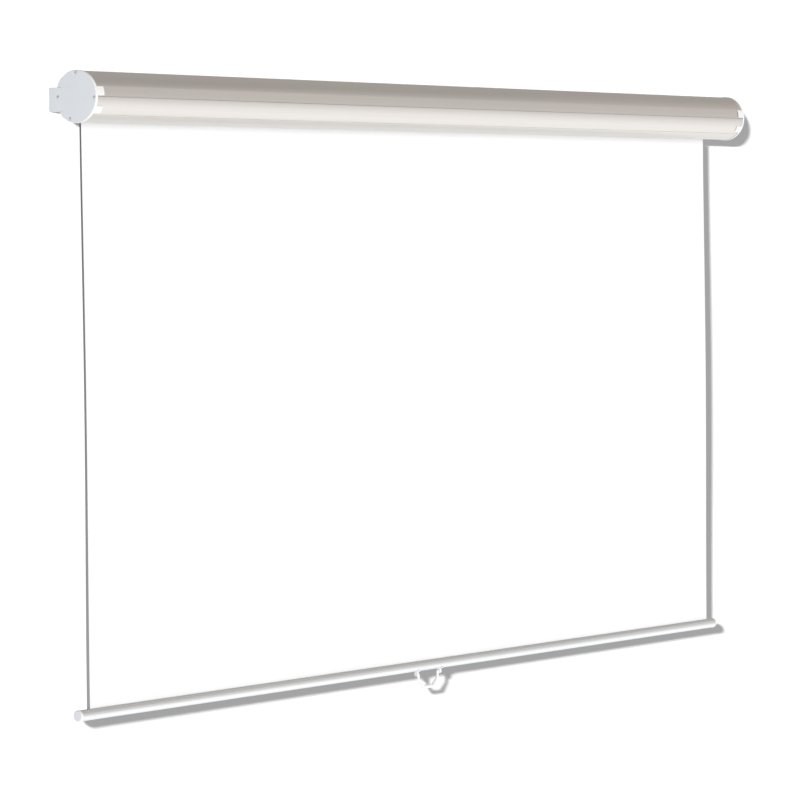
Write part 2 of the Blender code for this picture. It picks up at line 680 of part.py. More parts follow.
def make_screen_fabric():
    """A flat sheet from the roll down to the bar, whose free edges curl a little towards the room."""
    mesh = bpy.data.meshes.new("screen_fabric")
    work = bmesh.new()
    bmesh.ops.create_grid(work, x_segments=SHEET_COLUMNS, y_segments=SHEET_ROWS, size=1.0)
    bottom = BAR_Z + BAR_RADIUS - 0.1 * MM
    for vertex in work.verts:
        across, down = vertex.co.x, (1 - vertex.co.y) / 2
        x = FABRIC_WIDTH / 2 * math.sin(across * math.pi / 2)
        near_edge = max(0.0, 1 - (FABRIC_WIDTH / 2 - abs(x)) / CURL_WIDTH)
        y = SHEET_Y - EDGE_CURL * near_edge ** 2 * math.sin(math.pi * down)
        vertex.co = (x, y, bottom * down)
    work.to_mesh(mesh)
    work.free()
    sheet = add_object("screen_fabric", mesh, SCREEN_FABRIC)
    skin = sheet.modifiers.new("thickness", "SOLIDIFY")
    skin.thickness = FABRIC_THICKNESS
    skin.offset = 0.0


# Drop bar

def bar_place(point):
    return (SHEET_Y + point[0], BAR_Z + point[1])


def upright(name, profile, side, segments):
    """A turned cutter on the vertical line through a clip, with its offsets counted from the bar's axis."""
    made = turned(name, profile, side * sum(CLIP_X) / 2, 1, segments, None, (SHEET_Y, BAR_Z))
    made.rotation_euler = (0, 0, 0)
    return made


def make_bar():
    """A round tube with a slot along its top and two holes under it for the clips, and two end plugs."""
    inner = BAR_RADIUS - BAR_WALL
    slot_out = math.degrees(math.asin(BAR_MOUTH / BAR_RADIUS))
    slot_in = math.degrees(math.asin(BAR_MOUTH / inner))
    outline = arc(BAR_RADIUS, 90 + slot_out, 450 - slot_out, 36) + arc(inner, 450 - slot_in, 90 + slot_in, 24)
    outline = [bar_place(p) for p in outline]
    tube = extruded("bottom_bar_tube", [outline], (-BAR_HALF, BAR_HALF), WHITE_LACQUER)
    plug = inner - GAP
    for end, side in SIDES.items():
        top, bottom = PAST - inner, -PAST - BAR_RADIUS
        bore = STUD_RADIUS + GAP
        profile = [(0.0, top), (bore, top), (bore, bottom), (0.0, bottom)]
        boolean(tube, upright("stud_hole_" + end, profile, side, 16))
        rim = arc(BAR_CAP_ROUND, 90, 0, 3,
                  (BAR_CAP_RADIUS - BAR_CAP_ROUND, BAR_CAP_THICKNESS - BAR_CAP_ROUND))
        profile = [(0.0, BAR_CAP_THICKNESS)] + rim
        profile += [(BAR_CAP_RADIUS, 0.0), (plug, 0.0), (plug, -BAR_PLUG_LENGTH),
                    (plug - BAR_WALL, -BAR_PLUG_LENGTH), (plug - BAR_WALL, -BAR_CAP_FLOOR),
                    (0.0, -BAR_CAP_FLOOR)]
        turned("bottom_bar_cap_" + end, profile, side * (BAR_HALF + GAP), side, 24, WHITE_PLASTIC,
               (SHEET_Y, BAR_Z))


def make_hem():
    """The fabric's hem is a sewn loop whose two plies leave through the bar's slot."""
    ply = FABRIC_THICKNESS
    foot = math.degrees(math.asin(ply / HEM_RADIUS))
    loop = arc(HEM_RADIUS, 90 + foot, 450 - foot, 20, (0.0, HEM_RISE))
    loop += [(ply, BAR_RADIUS - ply), (-ply, BAR_RADIUS - ply)]
    hole = arc(SPLINE_RADIUS + GAP, 0, 340, 17, (0.0, HEM_RISE))
    half = FABRIC_WIDTH / 2
    extruded("fabric_hem", [[bar_place(p) for p in loop], [bar_place(p) for p in hole]], (-half, half),
             SCREEN_FABRIC)
    rod("hem_spline", SPLINE_RADIUS, (-half, half), SHEET_Y, BAR_Z + HEM_RISE, 12, WHITE_PLASTIC)


# Handle

def clip_outline():
    """A saddle under the bar, with an eye for the handle on a short neck."""
    inner = BAR_RADIUS + GAP
    outer = inner + CLIP_WALL
    neck = math.degrees(math.asin(NECK_HALF / outer))
    shoulder = math.degrees(math.acos(NECK_HALF / EYE_RADIUS))
    outline = arc(outer, 270 - CLIP_WRAP_DEG, 270 - neck, 6)
    outline += arc(EYE_RADIUS, 180 - shoulder, 360 + shoulder, 14, (0.0, -EYE_DROP))
    outline += arc(outer, 270 + neck, 270 + CLIP_WRAP_DEG, 6)
    outline += arc(inner, 270 + CLIP_WRAP_DEG, 270 - CLIP_WRAP_DEG, 10)
    return outline


def make_clips():
    """Each clip is held by a barbed stud that snaps through the hole in the underside of the bar."""
    hole = arc(BAIL_WIRE + EYE_CLEARANCE, 0, 330, 11, (0.0, -EYE_DROP))
    root = -BAR_RADIUS - GAP - CLIP_WALL / 2
    ledge = BAR_WALL - BAR_RADIUS + BARB_CLEARANCE
    profile = [(0.0, ledge + BARB_HEIGHT), (STUD_RADIUS / 2, ledge + BARB_HEIGHT), (BARB_RADIUS, ledge),
               (STUD_RADIUS, ledge), (STUD_RADIUS, root), (0.0, root)]
    for end, side in SIDES.items():
        outlines = [[bar_place(p) for p in outline] for outline in (clip_outline(), hole)]
        clip = extruded("handle_clip_" + end, outlines, (side * CLIP_X[0], side * CLIP_X[1]), WHITE_PLASTIC)
        boolean(clip, upright("clip_stud_" + end, profile, side, 12), "UNION")


def rounded_path(corners, steps=4):
    """A path (x, z) whose inner corners (x, z, radius) become curves between their tangent points."""
    path = [Vector(corners[0][:2])]
    for before, corner, after in zip(corners, corners[1:], corners[2:]):
        here = Vector(corner[:2])
        back = (Vector(before[:2]) - here).normalized()
        ahead = (Vector(after[:2]) - here).normalized()
        reach = corner[2] / math.tan(back.angle(ahead) / 2)
        first, last = here + back * reach, here + ahead * reach
        for i in range(steps + 1):
            t = i / steps
            path.append(first * (1 - t) ** 2 + here * (2 * t * (1 - t)) + last * t ** 2)
    path.append(Vector(corners[-1][:2]))
    return path


def make_handle():
    """A bail bent from one bar: trunnions in the clips, upright legs, then a narrower and thicker grip."""
    half = [(CLIP_X[1] + TRUNNION_PAST, 0.0, 0.0), (BAIL_HALF, 0.0, TRUNNION_BEND),
            (BAIL_HALF, -LEG_LENGTH, LEG_BEND), (GRIP_HALF, -BAIL_DEPTH, GRIP_BEND)]
    corners = [(-x, z, r) for x, z, r in half] + list(reversed(half))
    curve = bpy.data.curves.new("pull_handle", "CURVE")
    curve.dimensions = "3D"
    curve.bevel_depth = BAIL_WIRE
    curve.bevel_resolution = 2
    curve.use_fill_caps = True
    path = rounded_path(corners)
    spline = curve.splines.new("POLY")
    spline.points.add(len(path) - 1)
    for target, (x, z) in zip(spline.points, path):
        swell = min(1.0, max(0.0, (-z - LEG_LENGTH) / (BAIL_DEPTH - LEG_LENGTH)))
        target.co = (x, 0.0, z, 1.0)
        target.radius = 1 + GRIP_SWELL * swell
    source = bpy.data.objects.new("pull_handle_path", curve)
    bpy.context.scene.collection.objects.link(source)
    source.location = (0, SHEET_Y, PIVOT_Z)
    meshed("pull_handle", source, WHITE_PLASTIC)


def main():
    make_case()
    for end in SIDES:
        make_end_cap(end)
        make_cap_screws(end)
        make_wall_bracket(end)
    make_roller()
    make_idle_end()
    make_spring_drive()
    make_ratchet()
    make_screen_fabric()
    make_bar()
    make_hem()
    make_clips()
    make_handle()
    shade_round_faces()


main()
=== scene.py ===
"""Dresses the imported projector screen: fine surfaces, finishes, wall, light and camera.

X runs along the case, -Y faces the room, +Y is the wall and Z is up, in metres. Angles round the
case are in degrees from the front (0) over the top (90) to the wall side (180) and the underside (270).
"""

import json
import math

import bmesh
import bpy
import numpy as np
from bpy.props import FloatProperty, FloatVectorProperty, IntProperty, PointerProperty
from mathutils import Matrix, Vector

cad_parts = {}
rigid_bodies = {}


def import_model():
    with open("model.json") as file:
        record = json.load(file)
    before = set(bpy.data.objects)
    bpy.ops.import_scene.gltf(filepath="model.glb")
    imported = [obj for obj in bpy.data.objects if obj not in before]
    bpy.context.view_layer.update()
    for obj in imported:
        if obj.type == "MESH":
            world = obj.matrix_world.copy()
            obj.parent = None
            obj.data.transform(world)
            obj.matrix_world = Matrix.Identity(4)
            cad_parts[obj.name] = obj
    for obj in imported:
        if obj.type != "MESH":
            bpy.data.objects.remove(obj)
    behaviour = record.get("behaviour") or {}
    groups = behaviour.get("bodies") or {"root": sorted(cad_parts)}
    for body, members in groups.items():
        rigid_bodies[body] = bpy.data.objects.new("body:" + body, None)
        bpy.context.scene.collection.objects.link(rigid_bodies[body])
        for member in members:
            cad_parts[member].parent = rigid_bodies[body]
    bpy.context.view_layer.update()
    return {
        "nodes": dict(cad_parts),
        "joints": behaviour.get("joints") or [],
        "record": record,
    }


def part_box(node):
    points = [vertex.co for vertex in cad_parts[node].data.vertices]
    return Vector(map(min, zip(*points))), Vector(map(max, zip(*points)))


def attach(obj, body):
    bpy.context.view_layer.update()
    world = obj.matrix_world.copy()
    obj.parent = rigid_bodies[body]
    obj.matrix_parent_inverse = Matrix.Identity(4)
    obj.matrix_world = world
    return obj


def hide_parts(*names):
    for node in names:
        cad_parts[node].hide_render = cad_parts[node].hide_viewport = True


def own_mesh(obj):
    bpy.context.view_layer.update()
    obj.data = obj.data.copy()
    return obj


bl_info = {
    "name": "Pull-down projector screen",
    "version": (1, 0, 0),
    "blender": (4, 5, 0),
    "location": "3D View > Sidebar > Projector screen",
    "description": "Builds the visible pieces, finishes and stage of a pull-down projector screen",
    "category": "Object",
}

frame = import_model()

MM = 0.001

# Places taken from the frame
JOINTS = {joint["name"]: joint for joint in frame["joints"]}
AXIS = Vector(JOINTS["roller_spin"]["pos_m"])
PIVOT = Vector(JOINTS["handle_swing"]["pos_m"])
CASE_LOW, CASE_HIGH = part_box("case_shell")
CAP_LOW, CAP_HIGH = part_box("end_cap_right")
ARM_LOW, ARM_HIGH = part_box("wall_bracket_right")
SHEET_LOW, SHEET_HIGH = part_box("screen_fabric")
ROLL_LOW, ROLL_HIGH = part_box("wound_fabric")
TUBE_LOW, TUBE_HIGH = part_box("bottom_bar_tube")
PLUG_LOW, PLUG_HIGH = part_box("bottom_bar_cap_right")
HEM_LOW, HEM_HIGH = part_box("fabric_hem")
CLIP_LOW, CLIP_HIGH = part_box("handle_clip_right")
CLIP_MIDDLE = (CLIP_LOW.x + CLIP_HIGH.x) / 2
BAIL_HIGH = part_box("pull_handle")[1]
BAR = Vector((0.0, PIVOT.y, (PLUG_LOW.z + PLUG_HIGH.z) / 2))
SIDES = {"left": -1, "right": 1}
END_FACE = CAP_HIGH.x

# Case profile
RIDGE_DEG = 23
GROOVE_DEGS = (-1, -46)
GROOVE_HALF_DEG = 0.8
SLOT_DEGS = (218.5, 231)
LIP_DEG = 2.6
LIP_DEPTH = 1.3 * MM
LIP_RAMP_DEG = 0.4
SCREW_DEGS = {"front": -4, "top": 90, "rear": 180, "bottom": 250}
SCREW_RING = 36.2 * MM
SLOT_NOTCH_HALF = 7.4 * MM
NOTCH_RADII = (32 * MM, 38.6 * MM)
CHANNEL_HOLE = 1.6 * MM
CHANNEL_RADIUS = 3.0 * MM
CHANNEL_MOUTH = 0.7 * MM
CHANNEL_FOOT_DEG = 0.6
SKIN_POINTS = 520
GROOVE_POINTS = 33

# End caps
CAP_FACE = 3.4 * MM
CAP_THICKNESS = 4 * MM
COLLAR_LENGTH = 1 * MM
COLLAR_WALL = 0.7 * MM
SPIGOT_LENGTH = 10 * MM
SPIGOT_WALL = 3 * MM
TONGUES = ((1, 21), (-40, -23))
TONGUE_LENGTH = 16.5 * MM
TONGUE_RADII = (39.85 * MM, 40.47 * MM)
TONGUE_EDGE = 0.2 * MM
BOSS_RADIUS = 9 * MM
BUSH_RADIUS = 6 * MM
SPADE_BOSS_RADIUS = 10 * MM
SPADE_BOSS_LENGTH = 12.5 * MM
SPADE_SLOT_HALVES = (2.3 * MM, 4.8 * MM)
SOCKET_FLOOR = 0.5 * MM
CAP_EDGE = 0.25 * MM
SPIGOT_EDGE = 0.5 * MM

# Screws
SCREW_HEAD = 2.8 * MM
SCREW_RIM = 0.25 * MM
SCREW_SHANK = 1.3 * MM
SCREW_CONE = 1.5 * MM
SCREW_LENGTH = 18 * MM
SCREW_SINK = 0.2 * MM
SCREW_CLEARANCE = 0.35 * MM
SEAT_RISE = 0.05 * MM
RECESS_DEPTH = 0.9 * MM
RECESS_HALVES = (1.6 * MM, 0.32 * MM)
RECESS_DEGS = (25, 115)

# Wall brackets
ARM_PLATE = 2 * MM
FLANGE_PLATE = 2.5 * MM
BEND_OUTSIDE = 2.2 * MM
BEND_INSIDE = 0.6 * MM
PLATE_EDGE = 0.3 * MM
WALL_HOLE = 2.6 * MM
WALL_HOLE_INSET = 9 * MM
WALL_HOLE_HEIGHTS = (6 * MM, -13 * MM)

# Camera, fitted to the photograph's outlines
IMAGE_SIDE = 800
FOCAL_PIXELS = 4244.9
SENSOR = 36.0
YAW_DEG, PITCH_DEG, ROLL_DEG = 53.990, -2.080, -0.599
AIM = Vector((-0.1101, AXIS.y, -0.4910))
DISTANCE = 7.137

# Stage. The wall's seam lies just under the case's shadow. A sun is a direction and a width in degrees.
STAGE_REACH = 30.0
WALL_SEAM = -0.0502
WALL_TONE = (0.12, 0.12, 0.12, 1.0)
WALL_GLOW = 0.29
UPPER_SUN = ((1.88, 1.0, -0.19), 2.5)
LOWER_SUN = ((2.41, 1.0, -0.64), 4.5)
FLOOR_TONE = (0.80, 0.80, 0.79, 1.0)
FLOOR_GLOW = 0.45
KEY_SUN = ((0.35, 0.90, -0.06), 35.0)
HANGING = ("sheet", "bar", "clip", "handle")

# Surroundings, from straight below (0) over level (0.5) to straight above (1): place, brightness, warmth
ROOM_IN_FRONT = (
    (0.0, 1.05, 0.0), (0.28, 1.02, 0.0), (0.42, 0.84, 0.01), (0.49, 0.66, 0.02), (0.52, 0.64, 0.03),
    (0.60, 0.60, 0.03), (0.68, 0.56, 0.04), (0.74, 0.49, 0.05), (0.78, 0.39, 0.05), (1.0, 0.36, 0.05))
ROOM_BEHIND = (
    (0.0, 0.90, 0.0), (0.40, 0.88, 0.0), (0.48, 0.76, 0.02), (0.52, 0.42, 0.05), (1.0, 0.38, 0.05))
WHITE = (1.0, 1.0, 1.0, 1.0)
COOL_LIGHT = (0.91, 1.0, 1.14, 1.0)

# Fabric
CURL_WIDTH = 60 * MM
ROLL_TURNS = 4
ROLL_GAP = 0.02 * MM
HEM_BORE = 2.5 * MM

# Bar and its plugs
BAR_MOUTH = 0.9 * MM
BAR_LIP_DEG = 1.6
BAR_LIP_ROUND = 0.25 * MM
BAR_EDGE = 0.2 * MM
PLUG_ROUND = 2 * MM
PLUG_LENGTH = 14 * MM
PLUG_TAPER = 0.5 * MM
PLUG_WALL = 1.2 * MM
PLUG_FLOOR = 1 * MM

# Clips and handle
STUD_RADIUS = 1.8 * MM
BARB_RADIUS = 2.4 * MM
BARB_HEIGHT = 2 * MM
BARB_CLEARANCE = 0.8 * MM
CLIP_WALL = 1.2 * MM
CLIP_WRAP_DEG = 50
EYE_RADIUS = 3.8 * MM
EYE_BORE = 2.6 * MM
NECK_HALF = 2.4 * MM
CLIP_EDGE = 0.2 * MM
BAIL_HALF = 28 * MM
GRIP_HALF = 13.5 * MM
LEG_LENGTH = 9.7 * MM
BAIL_DEPTH = 23.4 * MM
TRUNNION_BEND = 2.4 * MM
LEG_BEND = 6 * MM
GRIP_BEND = 5 * MM
TRUNNION_TAPER = 0.86
BAIL_RINGS = 220

# All pieces: clearance, a cutter's reach past a face, welding distance, sharp edges, and points round
GAP = 0.3 * MM
PAST = 1 * MM
WELD = 0.002 * MM
SHARP_DEG = 35
CAP_SEGMENTS = 192
PLUG_SEGMENTS = 96
STUD_SEGMENTS = 64
HOLE_SEGMENTS = 48
BAIL_SEGMENTS = 40

# Finishes
DUST_TONE = (0.62, 0.60, 0.57, 1.0)
DUST_DEPTH = 9 * MM
DUST_AMOUNT = 0.18
# Painted shade in the case's grooves: its near-black tone, its fade inside the skin, and its strength
GROOVE_SHADE_TONE = (0.10, 0.09, 0.08, 1.0)
GROOVE_SHADE_FADE = (0.4 * MM, 0.2 * MM)
GROOVE_SHADE_AMOUNT = 0.5
COOL_LINE = (0.975, 1.0, 0.985, 1.0)
WARM_LINE = (1.025, 0.995, 1.0, 1.0)
# A dark line painted along the sheet's left edge: its tone at the top and foot, and its widths
EDGE_LINE_TOP = (0.10, 0.10, 0.105, 1.0)
EDGE_LINE_FOOT = (0.30, 0.30, 0.305, 1.0)
EDGE_LINE_WIDTHS = (3.4 * MM, 6.6 * MM)
# Painted reflection: share taken off the sheet's colour where metal mirrors it, at its top and at its
# foot
PAINTED_REFLECTION_DIMMING = (0.20, 0.62)


# Settings that a user would change

class CaseSettings(bpy.types.PropertyGroup):
    radius: FloatProperty(
        name="Case radius", description="Outer radius of the case's skin", unit="LENGTH",
        default=39.5 * MM)
    wall: FloatProperty(
        name="Case wall", description="Thickness of the extruded wall", unit="LENGTH", default=1.6 * MM)
    groove: FloatProperty(
        name="Groove depth", description="Depth of the two long grooves", unit="LENGTH", default=0.8 * MM)
    land: FloatProperty(
        name="Land depth", description="How far the flat land over the front groove lies under the round",
        unit="LENGTH", default=0.5 * MM)
    colour: FloatVectorProperty(
        name="Case colour", description="Anodised colour of the case", subtype="COLOR",
        default=(0.86, 0.83, 0.80))


class CapSettings(bpy.types.PropertyGroup):
    radius: FloatProperty(
        name="Cap radius", description="Outer radius of the end caps", unit="LENGTH",
        default=(CAP_HIGH.z - CAP_LOW.z) / 2)
    fillet: FloatProperty(
        name="Rim fillet", description="Rounding of the caps' rims", unit="LENGTH", default=1 * MM)
    colour: FloatVectorProperty(
        name="Cap colour", description="Colour of the moulded caps and brackets", subtype="COLOR",
        default=(0.86, 0.86, 0.85))


class SheetSettings(bpy.types.PropertyGroup):
    width: FloatProperty(
        name="Sheet width", description="Width of the projection sheet", unit="LENGTH",
        default=SHEET_HIGH.x - SHEET_LOW.x)
    thickness: FloatProperty(
        name="Sheet thickness", description="Thickness of the coated fabric", unit="LENGTH",
        default=0.4 * MM)
    curl: FloatProperty(
        name="Edge curl", description="How far the free edges curl to the room", unit="LENGTH",
        default=2.5 * MM)
    columns: IntProperty(name="Columns", description="Grid columns over the width", default=180)
    rows: IntProperty(name="Rows", description="Grid rows over the drop", default=90)
    white: FloatVectorProperty(
        name="Sheet white", description="Colour of the projection surface", subtype="COLOR",
        default=(0.90, 0.90, 0.895))


class BarSettings(bpy.types.PropertyGroup):
    radius: FloatProperty(
        name="Bar radius", description="Outer radius of the drop bar", unit="LENGTH",
        default=(TUBE_HIGH.z - TUBE_LOW.z) / 2)
    wall: FloatProperty(
        name="Bar wall", description="Thickness of the drop bar's wall", unit="LENGTH", default=1.2 * MM)
    colour: FloatVectorProperty(
        name="Bar colour", description="Colour of the drop bar", subtype="COLOR",
        default=(0.955, 0.97, 0.985))


class HandleSettings(bpy.types.PropertyGroup):
    wire: FloatProperty(
        name="Handle radius", description="Radius of the handle's legs", unit="LENGTH", default=2.2 * MM)
    swell: FloatProperty(
        name="Grip swell", description="How much thicker the grip is than the legs", subtype="FACTOR",
        default=0.45)
    colour: FloatVectorProperty(
        name="Plastic white", description="Colour of the handle, clips and bar plugs", subtype="COLOR",
        default=(0.885, 0.87, 0.845))


class StageSettings(bpy.types.PropertyGroup):
    wall_light: FloatProperty(
        name="Wall light", description="Strength of the suns that draw the shadows on the wall",
        default=20.0)
    key_light: FloatProperty(
        name="Key light", description="Strength of the soft light from the front left", default=1.5)
    floor_drop: FloatProperty(
        name="Floor drop", description="Height of the case's axis above the floor", unit="LENGTH",
        default=2.0)


# Surfaces

def linked(name, data):
    """A new object with this data, in the scene."""
    made = bpy.data.objects.new(name, data)
    bpy.context.scene.collection.objects.link(made)
    return made


def add_piece(name, mesh, *materials):
    """A piece from this mesh, with its round faces shaded smooth."""
    made = linked(name, mesh)
    for material in materials:
        mesh.materials.append(material)
    shade(mesh)
    return made


def shade(mesh):
    """Smooth shading up to the angle of a sharp edge."""
    mesh.shade_smooth()
    mesh.set_sharp_from_angle(angle=math.radians(SHARP_DEG))


def lattice(name, points, capped=True):
    """A mesh over a grid of points with shape (rows, columns, 3), whose columns wrap round.

    Each cell (i, j) becomes a quad between rows i, i + 1 and columns j, j + 1, and the last column's
    neighbour is the first. A capped grid gets one face over its first row and one over its last.
    """
    rows, columns = points.shape[:2]
    index = np.arange(rows * columns).reshape(rows, columns)
    onward = np.roll(index, -1, axis=1)
    quads = np.stack([index[:-1], onward[:-1], onward[1:], index[1:]], axis=-1)
    faces = quads.reshape(-1, 4).tolist()
    if capped:
        faces += [index[0, ::-1].tolist(), index[-1].tolist()]
    mesh = bpy.data.meshes.new(name)
    mesh.from_pydata(points.reshape(-1, 3).tolist(), [], faces)
    return mesh


def closed(mesh, weld=True):
    """Turns a closed mesh's faces outwards, after its seams and poles are welded and its faces without
    area dropped. A mesh whose UV map has to stay as it is isn't welded."""
    work = bmesh.new()
    work.from_mesh(mesh)
    if weld:
        bmesh.ops.remove_doubles(work, verts=work.verts, dist=WELD)
        bmesh.ops.dissolve_degenerate(work, edges=work.edges, dist=WELD / 2)
    bmesh.ops.recalc_face_normals(work, faces=work.faces)
    work.to_mesh(mesh)
    work.free()
    return mesh


def arc(radius, start, end, steps, centre=(0.0, 0.0)):
    """Points (a, b) = centre + radius * (cos t, sin t), with t from start to end in degrees."""
    t = np.radians(np.linspace(start, end, steps + 1))
    return np.stack([centre[0] + radius * np.cos(t), centre[1] + radius * np.sin(t)], axis=1)


def polar(radius, degrees):
    """(y, z) round the case's axis: y = axis - radius * cos(angle), z = axis + radius * sin(angle)."""
    t = np.radians(degrees)
    return np.stack([AXIS.y - radius * np.cos(t), AXIS.z + radius * np.sin(t)], axis=-1)


def softened(corners, steps, loop=True):
    """An outline through corners (a, b, radius), each rounded by the curve
    p = (1-t)^2 * first + 2t(1-t) * corner + t^2 * last between its two tangent points."""
    flat = np.array([corner[:2] for corner in corners], float)
    count = len(corners)
    t = np.linspace(0.0, 1.0, steps + 1)[:, None]
    pieces = []
    for k, corner in enumerate(corners):
        here = flat[k]
        if corner[2] <= 0 or (not loop and k in (0, count - 1)):
            pieces.append(here[None, :])
            continue
        back, ahead = flat[k - 1] - here, flat[(k + 1) % count] - here
        back, ahead = back / np.linalg.norm(back), ahead / np.linalg.norm(ahead)
        half = math.acos(max(-1.0, min(1.0, float(back @ ahead)))) / 2
        reach = corner[2] / math.tan(half)
        first, last = here + back * reach, here + ahead * reach
        pieces.append((1 - t) ** 2 * first + 2 * t * (1 - t) * here + t ** 2 * last)
    return np.concatenate(pieces)


def inset(outline, distance):
    """A closed outline moved inwards: p - distance * n, where n is the mean normal of its two sides.

    The outline may run either way round; its area's sign tells which side is outside.
    """
    after, before = np.roll(outline, -1, axis=0), np.roll(outline, 1, axis=0)
    area = np.sum(outline[:, 0] * after[:, 1] - after[:, 0] * outline[:, 1])
    along = after - before
    along /= np.maximum(np.linalg.norm(along, axis=1, keepdims=True), 1e-12)
    normal = np.stack([along[:, 1], -along[:, 0]], axis=1) * np.sign(area)
    return outline - distance * normal


def extruded(name, outline, start, end, edge=0.0, axis=0):
    """A closed outline carried along an axis from start to end, with a small chamfer at both ends.

    Axis 0 carries an outline in (y, z) along X, and axis 2 carries one in (x, y) along Z.
    """
    start, end = min(start, end), max(start, end)
    stations = [(start, 0.0), (end, 0.0)]
    if edge > 0:
        stations = [(start, edge), (start + edge, 0.0), (end - edge, 0.0), (end, edge)]
    rings = [np.insert(inset(outline, shrink), axis, at, axis=1) for at, shrink in stations]
    return closed(lattice(name, np.array(rings)))


def pin(radius, start, end):
    """The profile of a plain round pin, as turned takes it."""
    return [(0, start), (radius, start), (radius, end), (0, end)]


def turned(name, profile, plane_x, side, centre, segments):
    """A profile of (radius r, offset h) that starts and ends on the axis, turned round a line along X
    through centre (y, z): (x, y, z) = (plane + side * h, cy + r * cos t, cz + r * sin t)."""
    profile = np.array(profile, float)
    t = np.linspace(0.0, 2 * math.pi, segments, endpoint=False)[None, :]
    radius, offset = profile[:, :1], profile[:, 1:2]
    x = np.broadcast_to(plane_x + side * offset, (len(profile), segments))
    points = np.stack([x, centre[0] + radius * np.cos(t), centre[1] + radius * np.sin(t)], axis=-1)
    return closed(lattice(name, points, capped=False))


def swept(name, path, radii, segments):
    """A round bar along a path in the plane of constant y: at each point a ring of
    p + r * (cos t * n + sin t * Y), where n is the path's normal in its plane."""
    path, radii = np.array(path, float), np.array(radii, float)[:, None, None]
    along = np.gradient(path, axis=0)
    along /= np.linalg.norm(along, axis=1, keepdims=True)
    normal = np.column_stack([-along[:, 2], np.zeros(len(path)), along[:, 0]])
    t = np.linspace(0.0, 2 * math.pi, segments, endpoint=False)[None, :, None]
    ring = np.cos(t) * normal[:, None, :] + np.sin(t) * np.array([0.0, 1.0, 0.0])
    return closed(lattice(name, path[:, None, :] + radii * ring))


def block(name, low, high):
    """A box between two corners."""
    mesh = bpy.data.meshes.new(name)
    work = bmesh.new()
    low, high = Vector(low), Vector(high)
    place = Matrix.Translation((low + high) / 2) @ Matrix.Diagonal((*(high - low), 1.0))
    bmesh.ops.create_cube(work, size=1.0, matrix=place)
    work.to_mesh(mesh)
    work.free()
    return mesh


def turn_mesh(mesh, degrees, centre):
    """Turns a mesh about a line along X through centre (y, z)."""
    place = Matrix.Translation((0, *centre))
    mesh.transform(place @ Matrix.Rotation(math.radians(degrees), 4, "X") @ place.inverted())
    return mesh


def carved(target, cuts, joins=(), bevel=0.0):
    """Joins the target with other meshes, cuts it with others, and rounds its sharp edges."""
    tools = []
    for operation, meshes in (("UNION", joins), ("DIFFERENCE", cuts)):
        for mesh in meshes:
            tool = linked(mesh.name, mesh)
            step = target.modifiers.new(mesh.name, "BOOLEAN")
            step.operation = operation
            step.solver = "EXACT"
            step.object = tool
            tools.append(tool)
    if bevel > 0:
        edge = target.modifiers.new("edges", "BEVEL")
        edge.width = bevel
        edge.segments = 2
        edge.limit_method = "ANGLE"
        edge.angle_limit = math.radians(SHARP_DEG)
    bpy.context.view_layer.update()
    graph = bpy.context.evaluated_depsgraph_get()
    mesh = bpy.data.meshes.new_from_object(target.evaluated_get(graph))
    target.modifiers.clear()
    target.data = mesh
    shade(mesh)
    for tool in tools:
        bpy.data.objects.remove(tool, do_unlink=True)


# Shader building

def shader_group(name, inputs, outputs):
    """An empty shader group with (name, socket kind, default) inputs and (name, socket kind) outputs."""
    tree = bpy.data.node_groups.new(name, "ShaderNodeTree")
    for socket, kind, default in inputs:
        made = tree.interface.new_socket(name=socket, in_out="INPUT", socket_type=kind)
        if default is not None:
            made.default_value = default
    for socket, kind in outputs:
        tree.interface.new_socket(name=socket, in_out="OUTPUT", socket_type=kind)
    return tree, tree.nodes.new("NodeGroupInput").outputs, tree.nodes.new("NodeGroupOutput")


def plug(tree, socket, value):
    """Links the value to the socket where it is a socket itself, and otherwise writes it there."""
    if isinstance(value, bpy.types.NodeSocket):
        tree.links.new(value, socket)
    else:
        socket.default_value = value


def feed(tree, made, **values):
    """Plugs values into a node's inputs by name, where an underscore stands for a space."""
    for name, value in values.items():
        plug(tree, made.inputs[name.replace("_", " ")], value)


def node(tree, kind, settings=None, **values):
    """A new shader node with some of its settings, and values plugged into its inputs."""
    made = tree.nodes.new(kind)
    for name, value in (settings or {}).items():
        setattr(made, name, value)
    feed(tree, made, **values)
    return made


def maths(tree, operation, *values, clamp=False):
    """A Math node fed by up to three sockets or numbers; gives its output socket."""
    made = node(tree, "ShaderNodeMath", {"operation": operation, "use_clamp": clamp})
    for socket, value in zip(made.inputs, values):
        plug(tree, socket, value)
    return made.outputs[0]


def scaled(tree, colour, factor):
    """A colour times a number."""
    made = node(tree, "ShaderNodeVectorMath", {"operation": "SCALE"}, Vector=colour, Scale=factor)
    return made.outputs[0]


def multiplied(tree, first, second):
    """Two colours multiplied channel by channel."""
    made = node(tree, "ShaderNodeVectorMath", {"operation": "MULTIPLY"})
    plug(tree, made.inputs[0], first)
    plug(tree, made.inputs[1], second)
    return made.outputs[0]


def axes(tree, vector):
    """The vector's X, Y and Z, as output sockets."""
    return node(tree, "ShaderNodeSeparateXYZ", Vector=vector).outputs


def ramp(tree, factor, low, high, to_low=0.0, to_high=1.0):
    """A smooth step of factor from low to high, as a Map Range node; gives its output socket."""
    made = node(tree, "ShaderNodeMapRange", {"interpolation_type": "SMOOTHSTEP"}, Value=factor,
                From_Min=low, From_Max=high, To_Min=to_low, To_Max=to_high)
    return made.outputs["Result"]


def mixed(tree, factor, first, second):
    """A colour mix; each of the three may be a socket or a plain value."""
    made = node(tree, "ShaderNodeMix", {"data_type": "RGBA"})
    for number, value in ((0, factor), (6, first), (7, second)):
        plug(tree, made.inputs[number], value)
    return made.outputs[2]


def noise(tree, vector, scale, detail, roughness=0.5):
    """Noise from 0 to 1; gives its output socket."""
    made = node(tree, "ShaderNodeTexNoise", Vector=vector, Scale=scale, Detail=detail,
                Roughness=roughness)
    return made.outputs["Fac"]


